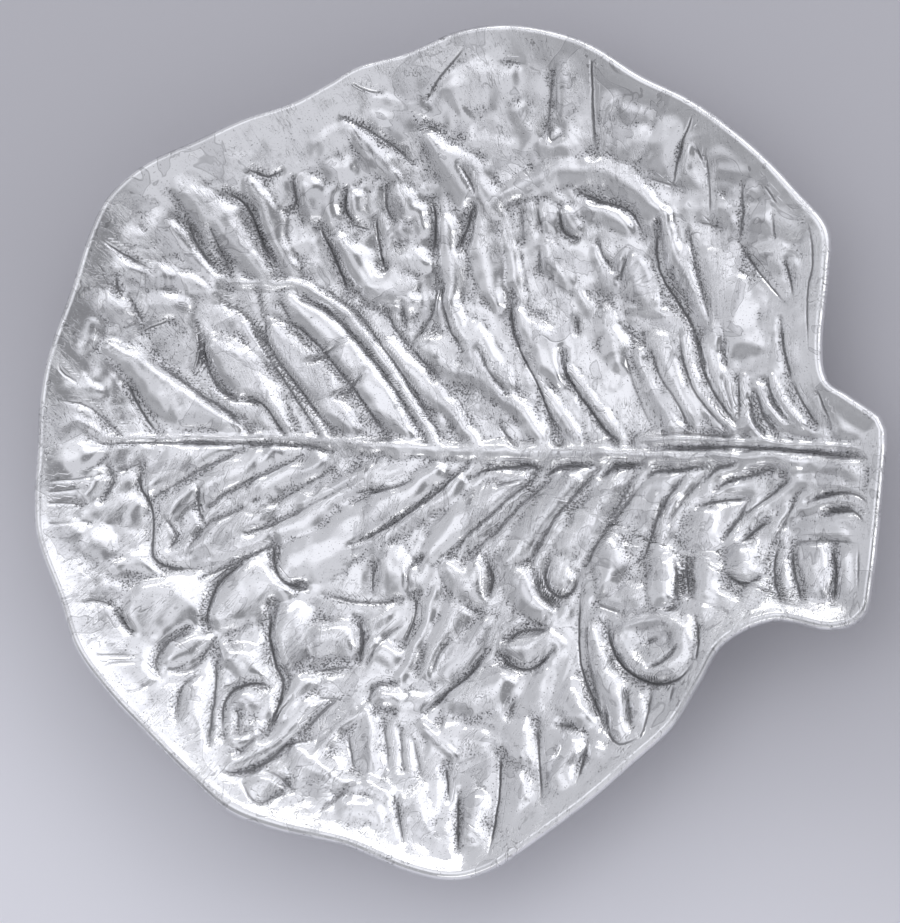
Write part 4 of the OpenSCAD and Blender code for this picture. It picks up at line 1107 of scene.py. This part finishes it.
def finishShader(tree, shader, place, colour, rough, height, distance):
    bump = addNode(tree, "ShaderNodeBump", place, Strength=1.0, Distance=distance)
    tree.links.new(height, bump.inputs["Height"])
    tree.links.new(colour, shader.inputs["Base Color"])
    tree.links.new(rough, shader.inputs["Roughness"])
    tree.links.new(bump.outputs["Normal"], shader.inputs["Normal"])


# The casting's grain: each noise's scale, detail, roughness and distortion, and whether it
# follows the leaf. A range has the two values that it runs between.
grain = {
    "noises": {
        "speck": (1.0, 2.0, 0.65, 0.0, False),
        "cloud": (45.0, 5.0, 0.6, 0.4, False),
        "ripple": (120.0, 3.0, 0.5, 0.2, False),
        "combed": (1.0, 3.0, 0.6, 0.25, True),
        "hairs": (3.1, 4.0, 0.7, 0.2, True),
        "fibre": (420.0, 3.0, 0.7, 0.6, False),
        "islands": (38.0, 3.0, 0.55, 0.7, False),
    },
    "combedRange": (0.46, 0.68),
    "cloudPatina": 0.75,
    "combedPatina": 0.35,
    "patinaRange": (0.45, 1.35),
    "patinaPits": 0.15,
    "pitRange": (0.64, 0.73),
    "patchRange": (0.565, 0.577),
    "patchMiddle": 0.57,
    "patchEdge": (0.01, 0.002),
    "patchEdgeShare": 0.32,
    "lineMiddle": 0.5,
    "lineWidths": {"combed": 0.014, "hairs": 0.03},
    "hairShare": 0.4,
    "brokenRange": (0.42, 0.62),
    "waver": 3.0,
    "creaseShadeRange": (1.6, 0.5),
    "creaseShadeShare": 0.92,
    "grooveRange": (3.2, 0.0),
    "hairHeights": (0.38, 0.6, 0.05, 0.3),
    "rippleHeight": 0.5,
    "fibreHeight": 0.03,
    "pitHeight": -0.3,
    "lineHeight": -0.3,
    "grooveHeight": -1.3,
}


# Grey patina, pits and fine lines of a sand casting, drawn out along the leaf's grain,
# and a dark line of painted shade along each crease
def makeCastGrain():
    group = bpy.data.node_groups.new("castGrain", "ShaderNodeTree")
    group.interface.new_socket("Grain Place", in_out="INPUT", socket_type="NodeSocketVector")
    for name in ("Pit Scale", "Recess", "Lines Share", "Crease Side", "Crease Strength"):
        group.interface.new_socket(name, in_out="INPUT", socket_type="NodeSocketFloat")
    for name in ("Pits", "Patina", "Patches", "Lines", "Height"):
        group.interface.new_socket(name, in_out="OUTPUT", socket_type="NodeSocketFloat")
    ins = addNode(group, "NodeGroupInput", (-1400, 0)).outputs
    outs = addNode(group, "NodeGroupOutput", (800, 0))
    coords = addNode(group, "ShaderNodeTexCoord", (-1400, -300)).outputs["Object"]
    noises = {}
    for i, (name, (scale, detail, rough, bend, along)) in enumerate(grain["noises"].items()):
        node = addNode(group, "ShaderNodeTexNoise", (-1000, 600 - 260 * i), Scale=scale,
                       Detail=detail, Roughness=rough, Distortion=bend)
        group.links.new(ins["Grain Place"] if along else coords, node.inputs["Vector"])
        noises[name] = node.outputs["Fac"]
    group.links.new(ins["Pit Scale"], noises["speck"].node.inputs["Scale"])
    combed = mapRange(group, (-700, -100), noises["combed"], *grain["combedRange"])
    gather = mathNode(group, (-700, 100), "MULTIPLY_ADD", noises["cloud"], grain["cloudPatina"],
                      ins["Recess"])
    gather = mathNode(group, (-500, 100), "MULTIPLY_ADD", combed, grain["combedPatina"], gather)
    patina = mapRange(group, (-300, 100), gather, *grain["patinaRange"])
    grit = mathNode(group, (-300, 300), "MULTIPLY_ADD", patina, grain["patinaPits"],
                    noises["speck"])
    pits = mapRange(group, (-100, 300), grit, *grain["pitRange"])
    # patches of the cast skin that the polishing left, each with a thin darker edge
    patches = mapRange(group, (-700, 900), noises["islands"], *grain["patchRange"])
    edge = mathNode(group, (-700, 1100), "SUBTRACT", noises["islands"], grain["patchMiddle"])
    edge = mathNode(group, (-500, 1100), "ABSOLUTE", edge)
    edge = mapRange(group, (-400, 1100), edge, *grain["patchEdge"])
    edge = mathNode(group, (-300, 1100), "MULTIPLY", edge, grain["patchEdgeShare"])
    # a fine line runs wherever the combed noise passes its middle value
    lines = []
    for i, (name, width) in enumerate(grain["lineWidths"].items()):
        y = -300 - 200 * i
        offset = mathNode(group, (-700, y), "SUBTRACT", noises[name], grain["lineMiddle"])
        offset = mathNode(group, (-500, y), "ABSOLUTE", offset)
        lines.append(mapRange(group, (-300, y), offset, width, 0.0))
    faint = mathNode(group, (-100, -500), "MULTIPLY", lines[1], grain["hairShare"])
    line = mathNode(group, (-100, -300), "MAXIMUM", lines[0], faint)
    broken = mapRange(group, (-300, -700), noises["cloud"], *grain["brokenRange"])
    line = mathNode(group, (100, -300), "MULTIPLY", line, broken)
    line = mathNode(group, (300, -300), "MULTIPLY", line, ins["Lines Share"])
    # the creases are drawn finer than the mesh, wavering a little: a dark line of painted shade in
    # the colour, and a groove in the bump
    waver = mathNode(group, (-700, -1000), "MULTIPLY_ADD", noises["ripple"], grain["waver"],
                     -grain["waver"] / 2)
    waver = mathNode(group, (-500, -1000), "ADD", ins["Crease Side"], waver)
    away = mathNode(group, (-300, -1000), "ABSOLUTE", waver)
    creaseShade, groove = [
        mathNode(group, (-100, y), "MULTIPLY", mapRange(group, (-200, y), away, *grain[name]),
                 ins["Crease Strength"])
        for name, y in (("creaseShadeRange", -1000), ("grooveRange", -1200))]
    creaseShade = mathNode(group, (300, -600), "MULTIPLY", creaseShade, grain["creaseShadeShare"])
    line = mathNode(group, (500, -300), "MAXIMUM", line, creaseShade)
    line = mathNode(group, (600, -300), "MAXIMUM", line, edge)
    hairs = mapRange(group, (-300, -800), noises["cloud"], *grain["hairHeights"])
    height = mathNode(group, (0, 0), "MULTIPLY", noises["ripple"], grain["rippleHeight"])
    for i, (source, share) in enumerate((
            (noises["fibre"], grain["fibreHeight"]), (noises["hairs"], hairs),
            (pits, grain["pitHeight"]), (line, grain["lineHeight"]),
            (groove, grain["grooveHeight"]))):
        height = mathNode(group, (100 + 100 * i, 0), "MULTIPLY_ADD", source, share, height)
    for name, source in (("Pits", pits), ("Patina", patina), ("Patches", patches),
                         ("Lines", line), ("Height", height)):
        group.links.new(source, outs.inputs[name])
    return group


castGrain = makeCastGrain()

casting = {
    "name": "polished_casting",
    "bright": (0.93, 0.93, 0.935, 1),
    "dull": (0.7, 0.7, 0.71, 1),
    # the pit colour also goes on the lines along the creases, where it is painted shade
    "pit": (0.13, 0.13, 0.135, 1),
    "pitShare": 0.9,
    "patchShare": 0.6,
    "polishedRoughness": 0.04,
    "dullRoughness": 0.26,
    "pitScale": 1250.0,
    "linesShare": 0.6,
    "bumpDistance": 0.00035,
    "backTone": (0.78, 0.78, 0.785, 1),
    "backToneShare": 0.7,
    "backRoughness": (0.34, 0.46),
    "backGrain": (9.0, 900.0, 300.0),
    "backStrokes": (0.3, 0.7),
}


def castMetal(values):
    material, tree, shader = newMaterial(values["name"])
    shader.inputs["Metallic"].default_value = 1
    skin = addNode(tree, "ShaderNodeGroup", (-900, 0), node_tree=castGrain,
                   Pit_Scale=values["pitScale"], Lines_Share=values["linesShare"])
    for i, (socket, field, output) in enumerate((
            ("Recess", "recess", "Fac"), ("Crease Side", "creaseSide", "Fac"),
            ("Crease Strength", "creaseStrength", "Fac"),
            ("Grain Place", "grainPlace", "Vector"))):
        source = addNode(tree, "ShaderNodeAttribute", (-1150, 200 - 200 * i), attribute_name=field)
        tree.links.new(source.outputs[output], skin.inputs[socket])
    patches = mathNode(tree, (-750, 150), "MULTIPLY", skin.outputs["Patches"],
                       values["patchShare"])
    worn = mathNode(tree, (-700, 50), "MAXIMUM", skin.outputs["Patina"], patches)
    tone = mixNode(tree, (-600, 150), worn, values["bright"], values["dull"])
    pits = mathNode(tree, (-750, -150), "MULTIPLY", skin.outputs["Pits"], values["pitShare"])
    # the dark marks: pits, grain lines, patch edges, and the painted shade along the creases
    marks = mathNode(tree, (-600, -50), "MAXIMUM", pits, skin.outputs["Lines"])
    colour = mixNode(tree, (-350, 150), marks, tone, values["pit"])
    rough = mapRange(tree, (-350, -100), worn, 0.0, 1.0,
                     values["polishedRoughness"], values["dullRoughness"])
    # the back is linished by hand: satin, with fine strokes across it
    under = addNode(tree, "ShaderNodeAttribute", (-1150, -600),
                    attribute_name="backSide").outputs["Fac"]
    coords = addNode(tree, "ShaderNodeTexCoord", (-1350, -800))
    strokes = addNode(tree, "ShaderNodeMapping", (-1150, -800), Scale=values["backGrain"])
    tree.links.new(coords.outputs["Object"], strokes.inputs["Vector"])
    brush = addNode(tree, "ShaderNodeTexNoise", (-950, -800), Scale=1.0, Detail=4.0,
                    Distortion=0.4)
    tree.links.new(strokes.outputs[0], brush.inputs["Vector"])
    brush = brush.outputs["Fac"]
    satin = mapRange(tree, (-750, -800), brush, *values["backStrokes"],
                     *values["backRoughness"])
    rough = mixNode(tree, (-150, -100), under, rough, satin, "FLOAT")
    height = mixNode(tree, (-550, -500), under, skin.outputs["Height"], brush, "FLOAT")
    share = mathNode(tree, (-350, 350), "MULTIPLY", under, values["backToneShare"])
    colour = mixNode(tree, (-150, 150), share, colour, values["backTone"])
    finishShader(tree, shader, (-350, -350), colour, rough, height, values["bumpDistance"])
    return material


leafMetal = castMetal(casting)
front.data.materials.append(leafMetal)
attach(front, "root")
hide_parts("leaf_plate")


# Lines round each foot's axis, as a lathe or a mould leaves them
def makeTurnedRings():
    group = bpy.data.node_groups.new("turnedRings", "ShaderNodeTree")
    for name in ("Ring Scale", "Grain Scale"):
        group.interface.new_socket(name, in_out="INPUT", socket_type="NodeSocketFloat")
    for name in ("Rings", "Grain"):
        group.interface.new_socket(name, in_out="OUTPUT", socket_type="NodeSocketFloat")
    ins = addNode(group, "NodeGroupInput", (-1200, -300))
    outs = addNode(group, "NodeGroupOutput", (600, 0))
    coords = addNode(group, "ShaderNodeTexCoord", (-1200, 0))
    place = addNode(group, "ShaderNodeSeparateXYZ", (-1000, 0))
    group.links.new(coords.outputs["Object"], place.inputs[0])
    squares = []
    for i, (axis, span) in enumerate((("X", leaf["feet"][3][0]), ("Y", leaf["feet"][0][1]))):
        out = mathNode(group, (-800, 200 * i), "ABSOLUTE", place.outputs[axis])
        out = mathNode(group, (-600, 200 * i), "SUBTRACT", out, span * mm)
        squares.append(mathNode(group, (-400, 200 * i), "MULTIPLY", out, out))
    radius = mathNode(group, (-200, 100), "SQRT", mathNode(group, (-300, 100), "ADD", *squares))
    ringPlace = addNode(group, "ShaderNodeCombineXYZ", (-100, 0))
    group.links.new(radius, ringPlace.inputs["X"])
    group.links.new(place.outputs["Z"], ringPlace.inputs["Z"])
    for i, (name, scale, source) in enumerate((
            ("Rings", "Ring Scale", ringPlace.outputs[0]),
            ("Grain", "Grain Scale", coords.outputs["Object"]))):
        noise = addNode(group, "ShaderNodeTexNoise", (200, -300 * i), Detail=3.0, Roughness=0.6)
        group.links.new(source, noise.inputs["Vector"])
        group.links.new(ins.outputs[scale], noise.inputs["Scale"])
        group.links.new(noise.outputs["Fac"], outs.inputs[name])
    return group


turnedRings = makeTurnedRings()

# The turned pieces: how round they are, and how their rings and grain make up the wear
turning = {
    "sides": 96,
    "smoothAngle": 35,
    "ringShare": 0.5,
    "grainShare": 0.5,
    "toneRange": (0.38, 0.62),
    "roughRange": (0.35, 0.65),
}
turnedMetal = {
    "name": "turned_aluminium",
    "metallic": 1.0,
    "tones": ((0.8, 0.8, 0.79, 1), (0.68, 0.68, 0.68, 1)),
    "roughness": (0.2, 0.4),
    "ringScale": 4200.0,
    "grainScale": 900.0,
    "bumpDistance": 0.00006,
}
rubber = {
    "name": "moulded_rubber",
    "metallic": 0.0,
    "tones": ((0.022, 0.022, 0.023, 1), (0.05, 0.05, 0.05, 1)),
    "roughness": (0.62, 0.85),
    "ringScale": 1500.0,
    "grainScale": 3800.0,
    "bumpDistance": 0.00012,
}


def roundMaterial(values):
    material, tree, shader = newMaterial(values["name"])
    shader.inputs["Metallic"].default_value = values["metallic"]
    rings = addNode(tree, "ShaderNodeGroup", (-900, 0), node_tree=turnedRings,
                    Ring_Scale=values["ringScale"], Grain_Scale=values["grainScale"])
    both = mathNode(tree, (-650, 200), "MULTIPLY", rings.outputs["Rings"],
                    turning["ringShare"])
    both = mathNode(tree, (-650, 0), "MULTIPLY_ADD", rings.outputs["Grain"],
                    turning["grainShare"], both)
    wear = mapRange(tree, (-450, 0), both, *turning["toneRange"])
    tone = mixNode(tree, (-250, 150), wear, *values["tones"])
    rough = mapRange(tree, (-250, -100), both, *turning["roughRange"], *values["roughness"])
    finishShader(tree, shader, (-250, -350), tone, rough, both, values["bumpDistance"])
    return material


# Round pieces under the leaf: radius and height of each edge in millimetres, from the first
# face round to the last. Each stands in for the nodes whose names start with "node", if any.
roundPieces = {
    "collar": {
        "node": None,
        "slot": "casting",
        "profile": [(12.3, 8.9), (12.0, 8.5), (11.1, 8.44), (10.3, 8.26), (9.65, 7.9), (9.22, 7.4),
                    (9.0, 6.8), (9.0, 6.35), (8.9, 6.12), (8.62, 6.0), (3.3, 6.0), (3.02, 6.2),
                    (3.0, 8.7)],
    },
    "foot": {
        "node": "foot",
        "slot": "foot",
        "profile": [(4.48, 2.0), (4.48, 1.0), (4.6, 0.85), (4.85, 0.8), (5.8, 0.8), (6.02, 0.86),
                    (6.62, 1.46), (6.88, 1.8), (6.98, 2.2), (6.98, 3.3), (6.9, 3.42),
                    (6.72, 3.52), (6.72, 3.82), (6.9, 3.92), (6.98, 4.04), (6.98, 5.55),
                    (6.9, 5.82), (6.65, 5.97), (3.3, 5.97), (2.95, 6.05), (2.95, 9.7),
                    (2.45, 10.2)],
    },
    "pad": {
        "node": "pad",
        "slot": "pad",
        "profile": [(4.44, 1.98), (4.44, 0.5), (4.38, 0.22), (4.2, 0.06), (3.95, 0.0), (3.2, 0.0),
                    (3.1, 0.16), (2.75, 0.16), (2.65, 0.0), (1.75, 0.0), (1.65, 0.16), (1.3, 0.16),
                    (1.2, 0.0), (0.5, 0.0)],
    },
}


def turnPiece(name, shape, x, y):
    radius, height = shape["profile"][0]
    bpy.ops.mesh.primitive_circle_add(vertices=turning["sides"], radius=radius * mm,
                                      fill_type="NGON", location=(x, y, height * mm))
    piece = bpy.context.active_object
    piece.name = piece.data.name = name
    bpy.ops.object.transform_apply(location=True)
    bpy.ops.object.mode_set(mode="EDIT")
    bpy.ops.mesh.select_all(action="SELECT")
    for nextRadius, nextHeight in shape["profile"][1:]:
        rise = (nextHeight - height) * mm
        bpy.ops.mesh.extrude_region_move(TRANSFORM_OT_translate={"value": (0, 0, rise)})
        ratio = nextRadius / radius
        bpy.ops.transform.resize(value=(ratio, ratio, 1),
                                 center_override=(x, y, nextHeight * mm))
        radius, height = nextRadius, nextHeight
    bpy.ops.mesh.select_all(action="SELECT")
    bpy.ops.mesh.normals_make_consistent(inside=False)
    bpy.ops.object.mode_set(mode="OBJECT")
    bpy.ops.object.shade_smooth_by_angle(angle=math.radians(turning["smoothAngle"]))
    return piece


roundMaterials = {"collar": leafMetal, "foot": roundMaterial(turnedMetal),
                  "pad": roundMaterial(rubber)}
for kind, shape in roundPieces.items():
    for x, y in leaf["feet"]:
        ends = ("tip" if x < 0 else "stem", "upper" if y > 0 else "lower")
        piece = turnPiece("_".join(("round", kind) + ends), shape, x * mm, y * mm)
        piece.data.materials.append(roundMaterials[kind])
        if kind == "collar":
            addField(piece, "backSide", np.ones(len(piece.data.vertices)))
        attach(piece, "root")
        if shape["node"]:
            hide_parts("_".join((shape["node"],) + ends))
print("collars, feet and pads:", len(roundPieces) * len(leaf["feet"]))
print("materials done")

# The studio: the floor, the lamps, and the light that comes from all round, in metres
studio = {
    "floorSize": 6.0,
    "floorDrop": -0.0002,
    "floorRoughness": 0.7,
    # the floor's colour is painted light: dim far off, and a brighter pool towards the near side
    "paintedDimColour": (0.575, 0.568, 0.6, 1),
    "paintedLightColour": (0.9, 0.896, 0.94, 1),
    "paintedLightSlant": 0.3,
    "paintedLightReach": (-0.05, 0.28),
    "worldTint": (1.0, 1.013, 1.083),
    "worldLevel": 0.665,
    "glows": [
        # towards, angle where it starts, angle where it is full, brightness
        ((0.1, 0.85, 0.5), 46, 20, 0.06),
        ((0.1, 0.85, 0.45), 35, 27, 0.1),
        ((-0.98, -0.1, 0.05), 50, 20, -0.08),
        ((-0.25, 0.17, 0.95), 30, 6, 0.22),
        ((-0.25, 0.17, 0.95), 18, 14, 0.06),
        ((-0.6, 0.6, 0.45), 36, 14, -0.1),
        ((0.6, 0.6, 0.45), 36, 14, 0.42),
        ((-0.6, -0.6, 0.45), 36, 14, -0.25),
        ((0.6, -0.1, 0.8), 28, 6, -0.4),
        ((-0.5, -0.3, 0.8), 26, 10, -0.06),
    ],
    "lamps": [
        # name, place, aim, width, height, watts
        ("topPanel", (-0.1, 1.5, 0.8), (0, 0, 0), 1.2, 0.3, 2.0),
        ("lowPanel", (0.1, -1.4, 0.55), (0, 0, 0), 1.2, 0.3, 0.9),
        ("rightPanel", (1.5, 0.2, 0.55), (0, 0, 0), 0.3, 0.9, 0.8),
    ],
}
bpy.ops.mesh.primitive_plane_add(size=studio["floorSize"], location=(0, 0, studio["floorDrop"]))
floor = bpy.context.active_object
floor.name = "floor"
floorMaterial, tree, shader = newMaterial("pale_floor_painted_light")
coords = addNode(tree, "ShaderNodeTexCoord", (-900, 0))
split = addNode(tree, "ShaderNodeSeparateXYZ", (-700, 0))
tree.links.new(coords.outputs["Object"], split.inputs[0])
# painted light on the floor: it brightens towards -Y and, less, towards -X
slant = mathNode(tree, (-600, 0), "MULTIPLY_ADD", split.outputs["X"], studio["paintedLightSlant"],
                 split.outputs["Y"])
near = mathNode(tree, (-500, 0), "MULTIPLY", slant, -1.0)
paintedLightShare = mapRange(tree, (-400, 0), near, *studio["paintedLightReach"])
paintedFloorLight = mixNode(tree, (-250, 0), paintedLightShare, studio["paintedDimColour"], studio["paintedLightColour"])
tree.links.new(paintedFloorLight, shader.inputs["Base Color"])
shader.inputs["Roughness"].default_value = studio["floorRoughness"]
floor.data.materials.append(floorMaterial)

for name, place, aim, width, height, watts in studio["lamps"]:
    bpy.ops.object.light_add(type="AREA", location=place)
    lamp = bpy.context.active_object
    lamp.name = name
    lamp.data.shape = "RECTANGLE"
    lamp.data.size, lamp.data.size_y = width, height
    lamp.data.energy = watts
    toward = Vector(aim) - Vector(place)
    lamp.rotation_euler = toward.to_track_quat("-Z", "Y").to_euler()

# The light from all round: an even grey, with each glow added to it or taken off
world = bpy.context.scene.world or bpy.data.worlds.new("studio")
bpy.context.scene.world = world
world.use_nodes = True
tree = world.node_tree
sky = addNode(tree, "ShaderNodeTexCoord", (-1400, 0)).outputs["Generated"]
tint = Vector(studio["worldTint"])
level = None
for i, (axis, start, full, brightness) in enumerate(studio["glows"]):
    toward = addNode(tree, "ShaderNodeVectorMath", (-1200, -220 * i), operation="DOT_PRODUCT")
    toward.inputs[1].default_value = Vector(axis).normalized()
    tree.links.new(sky, toward.inputs[0])
    share = mapRange(tree, (-1000, -220 * i), toward.outputs["Value"],
                     math.cos(math.radians(start)), math.cos(math.radians(full)))
    glow = addNode(tree, "ShaderNodeVectorMath", (-800, -220 * i), operation="SCALE")
    glow.inputs[0].default_value = tint * brightness
    tree.links.new(share, glow.inputs["Scale"])
    both = addNode(tree, "ShaderNodeVectorMath", (-600, -220 * i), operation="ADD")
    both.inputs[0].default_value = tint * studio["worldLevel"]
    if level:
        tree.links.new(level, both.inputs[0])
    tree.links.new(glow.outputs[0], both.inputs[1])
    level = both.outputs[0]
tree.links.new(level, tree.nodes["Background"].inputs["Color"])

# Camera at the drawing's viewing angle, far off with a long lens
yaw, pitch, roll = drawing["yaw"], drawing["pitch"], drawing["roll"]
rightAxis = Vector((math.cos(yaw), 0, -math.sin(yaw)))
upAxis = Vector((math.sin(yaw) * math.sin(pitch), math.cos(pitch),
                 math.cos(yaw) * math.sin(pitch)))
backAxis = rightAxis.cross(upAxis)
cameraRight = math.cos(roll) * rightAxis + math.sin(roll) * upAxis
cameraUp = -math.sin(roll) * rightAxis + math.cos(roll) * upAxis
target = Vector((*planOf(drawing["frameMiddle"]), drawing["aimHeight"])) * mm
bpy.ops.object.camera_add()
camera = bpy.context.active_object
camera.name = "camera"
camera.data.lens = drawing["sensorWidth"] * drawing["cameraDistance"] \
    / (drawing["frameHeight"] * mmPerPoint * mm)
camera.data.clip_end = 50
facing = Matrix((cameraRight, cameraUp, backAxis)).transposed().to_4x4()
camera.matrix_world = Matrix.Translation(target + backAxis * drawing["cameraDistance"]) @ facing
bpy.context.scene.camera = camera
bpy.context.scene.view_settings.view_transform = "Standard"
print("camera and lights done")
